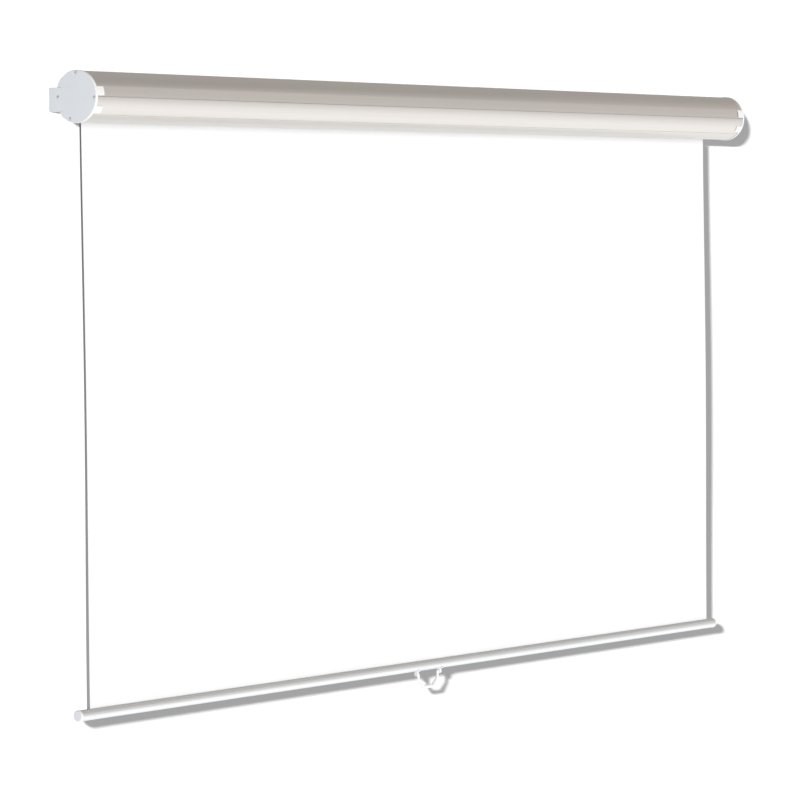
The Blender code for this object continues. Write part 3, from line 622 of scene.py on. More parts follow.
def stretched_noise(tree, vector, scales, detail, roughness=0.5):
    """Noise whose grains have their own size along each axis."""
    place = node(tree, "ShaderNodeMapping", {"vector_type": "POINT"}, Vector=vector, Scale=scales)
    return noise(tree, place.outputs["Vector"], 1.0, detail, roughness)


FINISH_OUTPUTS = [("Colour", "NodeSocketColor"), ("Roughness", "NodeSocketFloat"),
                  ("Height", "NodeSocketFloat")]


def lines_group():
    """Long drawn lines: noise stretched a thousandfold along X, as colour, roughness and height."""
    tree, into, out = shader_group(
        "drawn_lines",
        [("Vector", "NodeSocketVector", None), ("Colour", "NodeSocketColor", (0.8, 0.8, 0.8, 1)),
         ("Tint", "NodeSocketFloat", 0.03), ("Roughness", "NodeSocketFloat", 0.3)],
        FINISH_OUTPUTS)
    fine = stretched_noise(tree, into["Vector"], (1.5, 2200.0, 2200.0), 3.0, 0.65)
    broad = stretched_noise(tree, into["Vector"], (0.8, 110.0, 110.0), 2.0)
    hue = stretched_noise(tree, into["Vector"], (2.4, 60.0, 75.0), 1.0)
    lines = maths(tree, "SUBTRACT", fine, 0.5)
    bands = maths(tree, "SUBTRACT", broad, 0.5)
    shift = maths(tree, "MULTIPLY", maths(tree, "ADD", lines, bands), into["Tint"])
    bright = scaled(tree, into["Colour"], maths(tree, "ADD", shift, 1.0))
    feed(tree, out, Height=fine,
         Colour=multiplied(tree, bright, mixed(tree, hue, COOL_LINE, WARM_LINE)),
         Roughness=maths(tree, "MULTIPLY_ADD", lines, 0.16, into["Roughness"], clamp=True))
    return tree


def grain_group():
    """Moulded or painted grain: fine and broad noise as colour, roughness and height."""
    tree, into, out = shader_group(
        "surface_grain",
        [("Vector", "NodeSocketVector", None), ("Colour", "NodeSocketColor", (0.8, 0.8, 0.8, 1)),
         ("Scale", "NodeSocketFloat", 1800.0), ("Mottle", "NodeSocketFloat", 0.04),
         ("Roughness", "NodeSocketFloat", 0.45)],
        FINISH_OUTPUTS)
    broad = maths(tree, "SUBTRACT", noise(tree, into["Vector"], 38.0, 4.0), 0.5)
    mottle = maths(tree, "MULTIPLY", broad, into["Mottle"])
    feed(tree, out, Height=noise(tree, into["Vector"], into["Scale"], 3.0, 0.6),
         Colour=scaled(tree, into["Colour"], maths(tree, "ADD", mottle, 1.0)),
         Roughness=maths(tree, "MULTIPLY_ADD", broad, 0.2, into["Roughness"]))
    return tree


def dust_group():
    """Dust that settles on upper surfaces: a mask that rises with height and breaks up in patches."""
    tree, into, out = shader_group(
        "settled_dust",
        [("Vector", "NodeSocketVector", None), ("Low", "NodeSocketFloat", 0.0),
         ("High", "NodeSocketFloat", 1.0), ("Amount", "NodeSocketFloat", 0.2)],
        [("Mask", "NodeSocketFloat")])
    rise = ramp(tree, axes(tree, into["Vector"])["Z"], into["Low"], into["High"])
    patch = ramp(tree, noise(tree, into["Vector"], 24.0, 5.0, 0.65), 0.35, 0.7)
    feed(tree, out, Mask=maths(tree, "MULTIPLY", maths(tree, "MULTIPLY", rise, patch), into["Amount"]))
    return tree


def weave_group():
    """A plain weave on the sheet's UV map in metres: two crossing sets of ribs, as height and tone."""
    tree, into, out = shader_group(
        "coated_weave",
        [("Vector", "NodeSocketVector", None), ("Pitch", "NodeSocketFloat", 0.9 * MM)],
        [("Height", "NodeSocketFloat"), ("Tone", "NodeSocketFloat")])
    place = axes(tree, into["Vector"])
    turn = maths(tree, "DIVIDE", 2 * math.pi, into["Pitch"])
    across = maths(tree, "SINE", maths(tree, "MULTIPLY", place["X"], turn))
    down = maths(tree, "SINE", maths(tree, "MULTIPLY", place["Y"], turn))
    slub = stretched_noise(tree, into["Vector"], (6.0, 240.0, 1.0), 2.0)
    tone = noise(tree, into["Vector"], 5.0, 3.0)
    feed(tree, out, Tone=ramp(tree, tone, 0.2, 0.8, 0.985, 1.0),
         Height=maths(tree, "MULTIPLY_ADD", slub, 0.8, maths(tree, "MULTIPLY", across, down)))
    return tree


GROUPS = {
    "lines": lines_group(),
    "grain": grain_group(),
    "dust": dust_group(),
    "weave": weave_group(),
}


def place_group(tree, key, **values):
    """One of the shared groups, placed in a material; gives its output sockets."""
    return node(tree, "ShaderNodeGroup", {"node_tree": GROUPS[key]}, **values).outputs


def new_material(name):
    """A material, its tree, its Principled shader and its texture coordinates."""
    material = bpy.data.materials.new(name)
    material.use_nodes = True
    tree = material.node_tree
    return material, tree, tree.nodes["Principled BSDF"], tree.nodes.new("ShaderNodeTexCoord").outputs


def bumped(tree, shader, height, distance, strength):
    """Relief of this height in metres on the shader's surface."""
    bump = node(tree, "ShaderNodeBump", Height=height, Strength=strength, Distance=distance)
    feed(tree, shader, Normal=bump.outputs["Normal"])


def groove_painted_shade(tree, place, floor, rim, amount):
    """A mask of painted shade round the case's axis, standing for the shade in the grooves: full at the
    radius of the grooves' floor and gone at their rim, and gone again inside the skin, so that the inner
    wall is not darkened."""
    split = axes(tree, place)
    across = maths(tree, "SUBTRACT", split["Y"], AXIS.y)
    square = maths(tree, "MULTIPLY", across, across)
    radius = maths(tree, "SQRT", maths(tree, "MULTIPLY_ADD", split["Z"], split["Z"], square))
    skin = ramp(tree, radius, floor - GROOVE_SHADE_FADE[0], floor - GROOVE_SHADE_FADE[1])
    return maths(tree, "MULTIPLY", skin, ramp(tree, radius, floor, rim, amount, 0.0))


def drawn_metal(name, colour, roughness, tint=0.10, metallic=1.0, dust=None, groove_shade=None):
    """Drawn or brushed metal with its lines along X. Dust on top is given as (low, high, amount), and
    painted shade in the grooves as (floor radius, rim radius, amount)."""
    material, tree, shader, place = new_material(name)
    lines = place_group(tree, "lines", Vector=place["Object"], Colour=(*colour, 1.0), Tint=tint,
                        Roughness=roughness)
    rough, tone = lines["Roughness"], lines["Colour"]
    if dust:
        low, high, amount = dust
        film = place_group(tree, "dust", Vector=place["Object"], Low=low, High=high,
                           Amount=amount)["Mask"]
        tone = mixed(tree, film, tone, DUST_TONE)
        rough = maths(tree, "MULTIPLY_ADD", film, 0.5, rough, clamp=True)
    # Painted shade: the grooves are darkened toward a near-black tone where shade would fall in them
    if groove_shade:
        tone = mixed(tree, groove_painted_shade(tree, place["Object"], *groove_shade), tone, GROOVE_SHADE_TONE)
    feed(tree, shader, Base_Color=tone, Roughness=rough, Metallic=metallic)
    bumped(tree, shader, lines["Height"], 0.01 * MM, 0.5)
    return material


def grained(name, colour, roughness, scale=1800.0, mottle=0.04, relief=0.02 * MM, metallic=0.0,
            coat=0.0):
    """Moulded plastic, paint or plated steel, with its own grain size and relief."""
    material, tree, shader, place = new_material(name)
    grain = place_group(tree, "grain", Vector=place["Object"], Colour=(*colour, 1.0), Scale=scale,
                        Mottle=mottle, Roughness=roughness)
    feed(tree, shader, Base_Color=grain["Colour"], Roughness=grain["Roughness"], Metallic=metallic,
         Coat_Weight=coat)
    bumped(tree, shader, grain["Height"], relief, 0.6)
    return material


def sheet_face(name, white):
    """The projection face: white coating on a weave, with a dark line painted along the left edge. In
    reflections the coating is painted darker, so polished metal mirrors it dimmer, most of all the bar:
    a painted reflection.

    The UV map is in metres from the sheet's top centre. From the top to the foot the line grows wider
    and paler, and the painted darkening in reflections grows stronger.
    """
    material, tree, shader, place = new_material(name)
    weave = place_group(tree, "weave", Vector=place["UV"])
    split = axes(tree, place["UV"])
    from_edge = maths(tree, "ADD", (SHEET_HIGH.x - SHEET_LOW.x) / 2, split["X"])
    down = maths(tree, "DIVIDE", split["Y"], SHEET_HIGH.z - SHEET_LOW.z, clamp=True)

    def growing(top, foot):
        return maths(tree, "MULTIPLY_ADD", down, foot - top, top)

    # A dark line painted along the left edge, wider and paler toward the foot
    line = maths(tree, "LESS_THAN", from_edge, growing(*EDGE_LINE_WIDTHS))
    # Painted reflection: glossy rays see the coating darker, so the bar and case mirror a dimmer sheet
    mirrored = tree.nodes.new("ShaderNodeLightPath").outputs["Is Glossy Ray"]
    dimmed_in_reflections = maths(tree, "SUBTRACT", 1.0, maths(tree, "MULTIPLY", mirrored, growing(*PAINTED_REFLECTION_DIMMING)))
    coating = scaled(tree, white, maths(tree, "MULTIPLY", weave["Tone"], dimmed_in_reflections))
    dark_back_and_edge = mixed(tree, down, EDGE_LINE_TOP, EDGE_LINE_FOOT)
    feed(tree, shader, Base_Color=mixed(tree, line, coating, dark_back_and_edge), Roughness=0.85,
         Specular_IOR_Level=0.25)
    bumped(tree, shader, weave["Height"], 0.015 * MM, 0.35)
    return material


def sheet_back(name, colour):
    """The light-blocking coat on the sheet's back and cut edges."""
    material, tree, shader, place = new_material(name)
    weave = place_group(tree, "weave", Vector=place["UV"])
    grain = place_group(tree, "grain", Vector=place["Object"], Colour=(*colour, 1.0), Scale=900.0,
                        Mottle=0.25, Roughness=0.72)
    feed(tree, shader, Base_Color=grain["Colour"], Roughness=grain["Roughness"])
    bumped(tree, shader, weave["Height"], 0.02 * MM, 0.5)
    return material


def make_finishes(scene):
    """Every material by its slot's name."""
    caps = tuple(scene.screen_caps.colour)
    plastic = tuple(scene.screen_handle.colour)
    white = tuple(scene.screen_sheet.white)
    case = scene.screen_case
    top = AXIS.z + case.radius
    dust = (top - DUST_DEPTH, top, DUST_AMOUNT)
    # painted shade in the grooves, from their floor to their rim
    groove_shade = (case.radius - case.groove, case.radius - case.land, GROOVE_SHADE_AMOUNT)
    return {
        "case_aluminium": drawn_metal("case_aluminium", tuple(case.colour), 0.30, dust=dust,
                                      groove_shade=groove_shade),
        "bar_lacquer": drawn_metal("bar_lacquer", tuple(scene.screen_bar.colour), 0.26, tint=0.05,
                                   metallic=0.92),
        "cap_plastic": grained("cap_plastic", caps, 0.46),
        "bracket_steel": grained("bracket_paint", caps, 0.40, scale=1100.0, relief=0.03 * MM),
        "zinc_steel": grained("zinc_plate", (0.86, 0.885, 0.84), 0.38, scale=700.0, mottle=0.18,
                              metallic=1.0),
        "spring_steel": drawn_metal("spring_wire", (0.25, 0.25, 0.27), 0.32, tint=0.3),
        "nylon": grained("natural_nylon", (0.83, 0.81, 0.74), 0.50, scale=1200.0),
        "white_plastic": grained("white_plastic", plastic, 0.32, scale=2200.0, mottle=0.02,
                                 relief=0.008 * MM, coat=0.15),
        "screen_fabric": sheet_face("sheet_face", white),
        "sheet_back": sheet_back("sheet_back", (0.022, 0.022, 0.024)),
        "hem_fabric": grained("hem_fabric", white, 0.85, scale=900.0, relief=0.03 * MM),
    }


FINISHES = {}


def settle(piece, body, slot_name, *stands_for):
    """Puts a finished piece on its body, in place of its CAD nodes; its slot name is not used."""
    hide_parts(*stands_for)
    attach(piece, body)


# Case

def bump_profile(angles, centre, half_width):
    """A rounded V: cos^2 of a quarter turn over the half width, and 0 outside it."""
    share = np.clip(np.abs(angles - centre) / half_width, 0.0, 1.0)
    return np.cos(share * math.pi / 2) ** 2


def skin_outline(case):
    """The case's skin from lip to lip, r(a) = R - groove * bumps(a) - land * max(0, 1 - u^2),
    where u runs from -1 at the upper groove's edge to 1 at the ridge."""
    start, end = SLOT_DEGS[1] - 360, SLOT_DEGS[0]
    coarse = np.linspace(start, end, SKIN_POINTS)
    foot = GROOVE_DEGS[0] + GROOVE_HALF_DEG
    reach = 1.5 * GROOVE_HALF_DEG
    near = [np.linspace(groove - reach, groove + reach, GROOVE_POINTS) for groove in GROOVE_DEGS]
    angles = np.unique(np.round(np.concatenate([coarse, *near, [foot, RIDGE_DEG]]), 4))
    across = (2 * angles - foot - RIDGE_DEG) / (RIDGE_DEG - foot)
    radius = case.radius - case.land * np.clip(1 - across ** 2, 0.0, None)
    for groove in GROOVE_DEGS:
        radius -= case.groove * bump_profile(angles, groove, GROOVE_HALF_DEG)
    return polar(radius, angles)


def channel_outline(degrees, inner):
    """A C-shaped screw channel on the inner wall, walked with the angle falling."""
    root = (inner ** 2 - SCREW_RING ** 2 - CHANNEL_RADIUS ** 2) / (2 * SCREW_RING * CHANNEL_RADIUS)
    foot = math.degrees(math.acos(root))
    mouth_out = math.degrees(math.asin(CHANNEL_MOUTH / CHANNEL_RADIUS))
    mouth_in = math.degrees(math.asin(CHANNEL_MOUTH / CHANNEL_HOLE))
    local = np.concatenate([
        arc(CHANNEL_RADIUS, foot, 180 - mouth_out, 16),
        arc(CHANNEL_HOLE, 180 - mouth_in, mouth_in - 180, 28),
        arc(CHANNEL_RADIUS, 180 + mouth_out, 360 - foot, 16),
    ])
    turn = math.radians(degrees)
    outwards = np.array([-math.cos(turn), math.sin(turn)])
    onwards = np.array([math.sin(turn), math.cos(turn)])
    return polar(SCREW_RING, degrees) + local[:, :1] * outwards + local[:, 1:] * onwards


def inner_outline(inner):
    """The inner wall from the slot's rear lip back to its front lip, with both lips and the channels."""
    start, end = SLOT_DEGS[0], SLOT_DEGS[1] - 360
    half_foot = math.degrees(CHANNEL_RADIUS / SCREW_RING) + CHANNEL_FOOT_DEG
    stops = sorted((d - 360 if d > SLOT_DEGS[1] else d for d in SCREW_DEGS.values()), reverse=True)
    pieces = [polar(inner - LIP_DEPTH, np.array([start, start - LIP_DEG]))]
    angle = start - LIP_DEG - LIP_RAMP_DEG
    for stop in stops:
        pieces.append(polar(inner, np.arange(angle, stop + half_foot, -1.0)))
        pieces.append(channel_outline(stop, inner))
        angle = stop - half_foot
    pieces.append(polar(inner, np.arange(angle, end + LIP_DEG + LIP_RAMP_DEG, -1.0)))
    pieces.append(polar(inner - LIP_DEPTH, np.array([end + LIP_DEG, end])))
    return np.concatenate(pieces)


def build_case(scene):
    """The extruded case: one outline runs along its skin and back along its inner wall."""
    case = scene.screen_case
    outline = np.concatenate([skin_outline(case), inner_outline(case.radius - case.wall)])
    mesh = extruded("case", outline, CASE_LOW.x, CASE_HIGH.x)
    settle(add_piece("case", mesh, FINISHES["case_aluminium"]), "case", "case_aluminium", "case_shell")


# End caps, screws and brackets

def sector(start, end, inner, outer):
    """A stretch of a ring round the case's axis, as an outline."""
    angles = np.linspace(start, end, 40)
    return np.concatenate([polar(outer, angles), polar(inner, angles[::-1])])


def radial_cut(name, degrees, half_width, x_from, x_to):
    """A box along a radius of the case, as the cutter of a notch in a cap's spigot."""
    mesh = block(name, (min(x_from, x_to), AXIS.y - NOTCH_RADII[1], AXIS.z - half_width),
                 (max(x_from, x_to), AXIS.y - NOTCH_RADII[0], AXIS.z + half_width))
    return turn_mesh(mesh, -degrees, (AXIS.y, AXIS.z))


def screw_cut(name, side, degrees):
    """The cutter of a countersunk hole for a cap's screw."""
    head, shank = SCREW_HEAD + SCREW_CLEARANCE, SCREW_SHANK + SCREW_CLEARANCE
    rim = SEAT_RISE - SCREW_SINK
    profile = [(0, PAST), (head, PAST), (head, rim), (shank, rim - SCREW_CONE), (shank, -SCREW_LENGTH),
               (0, -SCREW_LENGTH)]
    return turned(name, profile, side * END_FACE, side, polar(SCREW_RING, degrees),
                  HOLE_SEGMENTS)


def cap_profile(caps, case, end):
    """A cap's half section from the middle of its face: rounded rim, collar over the case, spigot in it,
    and a boss that holds the roller's bush on the left and the spring's shaft on the right."""
    inner_face = CAP_THICKNESS - CAP_FACE
    spigot = case.radius - case.wall - GAP
    bore = spigot - SPIGOT_WALL
    collar = caps.radius - COLLAR_WALL
    rim = (caps.radius - caps.fillet, CAP_THICKNESS - caps.fillet)
    profile = [(0.0, CAP_THICKNESS)] + arc(caps.fillet, 90, 0, 12, rim).tolist()
    profile += [(caps.radius, CAP_EDGE - COLLAR_LENGTH), (caps.radius - CAP_EDGE, -COLLAR_LENGTH),
                (collar, -COLLAR_LENGTH), (collar, 0.0), (spigot, 0.0),
                (spigot, SPIGOT_EDGE - SPIGOT_LENGTH), (spigot - SPIGOT_EDGE, -SPIGOT_LENGTH),
                (bore, -SPIGOT_LENGTH), (bore, inner_face)]
    if end == "left":
        socket = BUSH_RADIUS + GAP
        profile += [(BOSS_RADIUS, inner_face), (BOSS_RADIUS, -SPIGOT_LENGTH), (socket, -SPIGOT_LENGTH),
                    (socket, SOCKET_FLOOR), (0.0, SOCKET_FLOOR)]
    else:
        profile += [(SPADE_BOSS_RADIUS, inner_face), (SPADE_BOSS_RADIUS, -SPADE_BOSS_LENGTH),
                    (0.0, -SPADE_BOSS_LENGTH)]
    return profile


def cap_cuts(caps, end):
    """The cutters of a cap: notches over the case's channels and slot, the arm's recess, the screws'
    holes and, on the right, the slot for the shaft's spade."""
    side = SIDES[end]
    plane = END_FACE - CAP_THICKNESS
    reach = (side * (plane - SPIGOT_LENGTH - PAST), side * (plane + GAP))
    cuts = [radial_cut(f"notch_{end}_{where}", degrees, CHANNEL_RADIUS + GAP, *reach)
            for where, degrees in SCREW_DEGS.items()]
    cuts.append(radial_cut(f"slot_notch_{end}", sum(SLOT_DEGS) / 2, SLOT_NOTCH_HALF, *reach))
    x_low, x_high = sorted((side * (END_FACE - ARM_PLATE - GAP), side * (END_FACE + PAST)))
    cuts.append(block(f"arm_recess_{end}", (x_low, ARM_LOW.y - GAP, ARM_LOW.z - GAP),
                      (x_high, AXIS.y + caps.radius + PAST, ARM_HIGH.z + GAP)))
    cuts += [screw_cut(f"screw_hole_{end}_{where}", side, degrees)
             for where, degrees in SCREW_DEGS.items()]
    if end == "right":
        half_y, half_z = SPADE_SLOT_HALVES
        low = (plane - SPADE_BOSS_LENGTH - PAST, AXIS.y - half_y, AXIS.z - half_z)
        cuts.append(block("spade_slot", low, (plane + SOCKET_FLOOR, AXIS.y + half_y, AXIS.z + half_z)))
    return cuts


def build_cap(scene, end):
    """A moulded end cap with two tongues that grip the case's front."""
    caps = scene.screen_caps
    side = SIDES[end]
    plane = END_FACE - CAP_THICKNESS
    mesh = turned(f"end_cap_{end}_fine", cap_profile(caps, scene.screen_case, end), side * plane, side,
                  (AXIS.y, AXIS.z), CAP_SEGMENTS)
    piece = add_piece("cap_" + end, mesh, FINISHES["cap_plastic"])
    tongues = [extruded(f"tongue_{end}_{number}", sector(start, stop, *TONGUE_RADII),
                        side * (plane - TONGUE_LENGTH), side * (plane + CAP_THICKNESS / 2), TONGUE_EDGE)
               for number, (start, stop) in enumerate(TONGUES)]
    carved(piece, cap_cuts(caps, end), tongues)
    settle(piece, "case", "cap_plastic", "end_cap_" + end)


def build_screw(end, where):
    """A countersunk screw with a cross recess."""
    side, degrees = SIDES[end], SCREW_DEGS[where]
    centre = polar(SCREW_RING, degrees)
    profile = [(0.0, -SCREW_SINK), (SCREW_HEAD - SCREW_RIM, -SCREW_SINK),
               (SCREW_HEAD, -SCREW_SINK - SCREW_RIM / 2), (SCREW_SHANK, -SCREW_SINK - SCREW_CONE),
               (SCREW_SHANK, SCREW_SHANK - SCREW_LENGTH), (SCREW_SHANK / 3, -SCREW_LENGTH),
               (0.0, -SCREW_LENGTH)]
    name = f"screw_{end}_{where}"
    mesh = turned(name, profile, side * END_FACE, side, centre, HOLE_SEGMENTS)
    piece = add_piece(name, mesh, FINISHES["zinc_steel"])
    face = side * (END_FACE - SCREW_SINK)
    x_low, x_high = sorted((face + side * PAST, face - side * RECESS_DEPTH))
    half_y, half_z = RECESS_HALVES
    cuts = []
    for number, turn in enumerate(RECESS_DEGS):
        blade = block(f"recess_{name}_{number}", (x_low, centre[0] - half_y, centre[1] - half_z),
                      (x_high, centre[0] + half_y, centre[1] + half_z))
        cuts.append(turn_mesh(blade, turn + degrees, centre))
    carved(piece, cuts)
    settle(piece, "case", "zinc_steel", f"cap_screw_{end}_{where}")


def build_bracket(end):
    """Bent plate: a profile in (x, y) with a rounded bend, carried along Z, then cut for its screws."""
    side = SIDES[end]
    flange = ARM_HIGH.x - ARM_LOW.x
    corners = [(0, 0, BEND_OUTSIDE), (0, ARM_LOW.y, PLATE_EDGE), (-ARM_PLATE, ARM_LOW.y, PLATE_EDGE),
               (-ARM_PLATE, -FLANGE_PLATE, BEND_INSIDE), (-flange, -FLANGE_PLATE, PLATE_EDGE),
               (-flange, 0, PLATE_EDGE)]
    outline = softened([(side * (END_FACE + x), y, radius) for x, y, radius in corners], 6)
    name = "bracket_" + end
    mesh = extruded(name, outline, ARM_LOW.z, ARM_HIGH.z, PLATE_EDGE, axis=2)
    piece = add_piece(name, mesh, FINISHES["bracket_steel"])
    cuts = [screw_cut("arm_hole_" + end, side, SCREW_DEGS["rear"])]
    x = side * (END_FACE - flange + WALL_HOLE_INSET)
    through = pin(WALL_HOLE, 2 * FLANGE_PLATE, -2 * FLANGE_PLATE)
    for number, height in enumerate(WALL_HOLE_HEIGHTS):
        hole = turned(f"wall_hole_{end}_{number}", through, 0.0, 1, (0.0, 0.0), HOLE_SEGMENTS)
        place = Matrix.Translation((x, -FLANGE_PLATE / 2, height))
        hole.transform(place @ Matrix.Rotation(math.pi / 2, 4, "Z"))
        cuts.append(hole)
    carved(piece, cuts)
    settle(piece, "case", "bracket_steel", "wall_bracket_" + end)


# Sheet, roll and hem

def sheet_surface(sheet):
    """The sheet's middle surface over u in -1..1 across and v in 0..1 down:
    x = u * half width, z = top - v * drop, and y leans to the room by curl * edge(u)^2 * sin(pi v)^2,
    where edge(u) rises from 0 to 1 over the curl's width."""
    half, drop = sheet.width / 2, SHEET_HIGH.z - SHEET_LOW.z
    u = np.sin(np.linspace(-1.0, 1.0, sheet.columns + 1) * math.pi / 2)[None, :]
    v = np.linspace(0.0, 1.0, sheet.rows + 1)[:, None]
    edge = np.clip(1 - half * (1 - np.abs(u)) / CURL_WIDTH, 0.0, 1.0)
    y = PIVOT.y - sheet.curl * edge ** 2 * np.sin(math.pi * v) ** 2
    x = np.broadcast_to(u * half, y.shape)
    z = np.broadcast_to(SHEET_HIGH.z - v * drop, y.shape)
    return np.stack([x, y, z], axis=-1), np.stack([x, np.broadcast_to(v * drop, y.shape)], axis=-1)


def build_sheet(scene):
    """The sheet as a closed skin: its front, its back and its cut edges, with a UV map in metres."""
    sheet = scene.screen_sheet
    middle, flat = sheet_surface(sheet)
    columns = middle.shape[1]
    lean = np.array([0.0, sheet.thickness / 2, 0.0])
    ring = np.concatenate([middle - lean, (middle + lean)[:, ::-1]], axis=1)
    uv = np.concatenate([flat, flat[:, ::-1]], axis=1).reshape(-1, 2)
    mesh = lattice("sheet", ring)
    mesh.materials.append(FINISHES["screen_fabric"])
    mesh.materials.append(FINISHES["sheet_back"])
    quads = (middle.shape[0] - 1) * 2 * columns
    dark_back_and_edge = np.ones(len(mesh.polygons), np.int32)
    dark_back_and_edge[:quads] = np.arange(quads) % (2 * columns) >= columns - 1
    mesh.polygons.foreach_set("material_index", dark_back_and_edge)
    loops = np.zeros(len(mesh.loops), np.int32)
    mesh.loops.foreach_get("vertex_index", loops)
    mesh.uv_layers.new(name="flat").data.foreach_set("uv", uv[loops].astype(np.float32).ravel())
    piece = add_piece("sheet", mesh)
    closed(mesh, weld=False)
    settle(piece, "case", "screen_fabric", "screen_fabric")
    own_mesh(piece)


def build_roll(scene):
    """The turns left on the roller: a band of the sheet's width along the spiral
    r(t) = r0 + pitch * t / 360, with t in degrees over all its turns."""
    thickness = scene.screen_sheet.thickness
    outer = (ROLL_HIGH.z - ROLL_LOW.z) / 2
    pitch = thickness + ROLL_GAP
    t = np.linspace(0.0, 360.0 * ROLL_TURNS, 96 * ROLL_TURNS + 1)
    radius = outer - thickness / 2 - pitch * ROLL_TURNS + pitch * t / 360
    rows = []
    for x, shift in ((ROLL_LOW.x, -0.5), (ROLL_HIGH.x, -0.5), (ROLL_HIGH.x, 0.5), (ROLL_LOW.x, 0.5)):
        rows.append(np.column_stack([np.full(len(t), x), polar(radius + shift * thickness, 180 - t)]))
    mesh = closed(lattice("wound_roll", np.stack(rows, axis=1)))
    piece = add_piece("wound_roll", mesh, FINISHES["hem_fabric"])
    settle(piece, "roller", "screen_fabric", "wound_fabric")


def build_hem(scene):
    """The sewn loop at the sheet's foot: a ring whose two plies leave through the bar's slot."""
    ply = scene.screen_sheet.thickness
    radius = (HEM_HIGH.y - HEM_LOW.y) / 2
    rise = HEM_LOW.z + radius - BAR.z
    foot = math.degrees(math.asin(ply / radius))
    loop = np.concatenate([arc(radius, 90 + foot, 450 - foot, 64, (0.0, rise)),
                           [(ply, HEM_HIGH.z - BAR.z), (-ply, HEM_HIGH.z - BAR.z)]])
    mesh = extruded("hem", loop + np.array([BAR.y, BAR.z]), HEM_LOW.x, HEM_HIGH.x)
    piece = add_piece("hem", mesh, FINISHES["hem_fabric"])
    bore = turned("hem_bore", pin(HEM_BORE, 0, HEM_HIGH.x - HEM_LOW.x + 2 * PAST), HEM_LOW.x - PAST, 1,
                  (BAR.y, BAR.z + rise), HOLE_SEGMENTS)
    carved(piece, [bore])
    settle(piece, "bottom_bar", "screen_fabric", "fabric_hem")


# Drop bar

def upright(name, profile, side):
    """A profile of (radius r, height h) turned round the vertical line through a clip:
    (x, y, z) = (clip + r * sin t, bar + r * cos t, bar + h)."""
    mesh = turned(name, profile, 0.0, 1, (0.0, 0.0), STUD_SEGMENTS)
    place = Matrix.Translation((side * CLIP_MIDDLE, BAR.y, BAR.z))
    mesh.transform(place @ Matrix.Rotation(-math.pi / 2, 4, "Y"))
    return mesh


def build_bar(scene):
    """A tube with a slot along its top, its lips rounded, and two holes under it for the clips."""
    bar = scene.screen_bar
    inner, lip = bar.radius - bar.wall, bar.radius - BAR_LIP_ROUND
    slot_out = math.degrees(math.asin(BAR_MOUTH / bar.radius))
    slot_in = math.degrees(math.asin(BAR_MOUTH / inner))
    skin_start = 90 + slot_out + BAR_LIP_DEG
    outline = np.concatenate([
        arc(bar.radius, skin_start, 540 - skin_start, 180),
        arc(lip, 450 - slot_out, 450 - slot_out, 0),
        arc(inner, 450 - slot_in, 90 + slot_in, 120),
        arc(lip, 90 + slot_out, 90 + slot_out, 0),
    ])
    mesh = extruded("bar", outline + np.array([BAR.y, BAR.z]), TUBE_LOW.x, TUBE_HIGH.x, BAR_EDGE)
    piece = add_piece("bar", mesh, FINISHES["bar_lacquer"])
    hole = pin(STUD_RADIUS + GAP, PAST - inner, -PAST - bar.radius)
    carved(piece, [upright("stud_hole_" + end, hole, side) for end, side in SIDES.items()])
    settle(piece, "bottom_bar", "bar_lacquer", "bottom_bar_tube")


def build_bar_plug(scene, end):
    """A hollow plug with a domed head that closes an end of the bar."""
    bar = scene.screen_bar
    side = SIDES[end]
    radius = (PLUG_HIGH.z - PLUG_LOW.z) / 2
    face = TUBE_HIGH.x + GAP
    dome = PLUG_HIGH.x - face
    plug = bar.radius - bar.wall - GAP
    rim = (radius - PLUG_ROUND, dome - PLUG_ROUND)
    profile = [(0.0, dome)] + arc(PLUG_ROUND, 90, 0, 14, rim).tolist()
    profile += [(radius, BAR_EDGE), (radius - BAR_EDGE, 0.0), (plug, 0.0),
                (plug, PLUG_TAPER - PLUG_LENGTH), (plug - PLUG_TAPER, -PLUG_LENGTH),
                (plug - PLUG_WALL, -PLUG_LENGTH), (plug - PLUG_WALL, -PLUG_FLOOR), (0.0, -PLUG_FLOOR)]
    name = "bar_plug_" + end
    mesh = turned(name, profile, side * face, side, (BAR.y, BAR.z), PLUG_SEGMENTS)
    piece = add_piece(name, mesh, FINISHES["white_plastic"])
    settle(piece, "bottom_bar", "white_plastic", "bottom_bar_cap_" + end)


# Handle

def clip_outline(bar_radius):
    """A saddle under the bar, joined by a short neck to a round eye."""
    inner, drop = bar_radius + GAP, BAR.z - PIVOT.z
    outer = inner + CLIP_WALL
    neck = math.degrees(math.asin(NECK_HALF / outer))
    shoulder = math.degrees(math.acos(NECK_HALF / EYE_RADIUS))
    return np.concatenate([
        arc(outer, 270 - CLIP_WRAP_DEG, 270 - neck, 24),
        arc(EYE_RADIUS, 180 - shoulder, 360 + shoulder, 64, (0.0, -drop)),
        arc(outer, 270 + neck, 270 + CLIP_WRAP_DEG, 24),
        arc(inner, 270 + CLIP_WRAP_DEG, 270 - CLIP_WRAP_DEG, 48),
    ])


def build_clip(scene, end):
    """The saddle and its eye, with the barbed stud that snaps through the hole in the bar."""
    bar = scene.screen_bar
    side = SIDES[end]
    name = "clip_" + end
    outline = clip_outline(bar.radius) + np.array([BAR.y, BAR.z])
    ends = sorted((side * CLIP_LOW.x, side * CLIP_HIGH.x))
    piece = add_piece(name, extruded(name, outline, *ends), FINISHES["white_plastic"])
    bore = turned(f"eye_{end}", pin(EYE_BORE, 0, ends[1] - ends[0] + 2 * PAST), ends[0] - PAST, 1,
                  (PIVOT.y, PIVOT.z), HOLE_SEGMENTS)
    root = -bar.radius - GAP - CLIP_WALL / 2
    ledge = BARB_CLEARANCE - bar.radius + bar.wall
    stud = [(0, ledge + BARB_HEIGHT), (STUD_RADIUS / 2, ledge + BARB_HEIGHT), (BARB_RADIUS, ledge),
            (STUD_RADIUS, ledge), (STUD_RADIUS, root), (0, root)]
    carved(piece, [bore], [upright("stud_" + end, stud, side)], bevel=CLIP_EDGE)
    settle(piece, "bottom_bar", "white_plastic", "handle_clip_" + end)


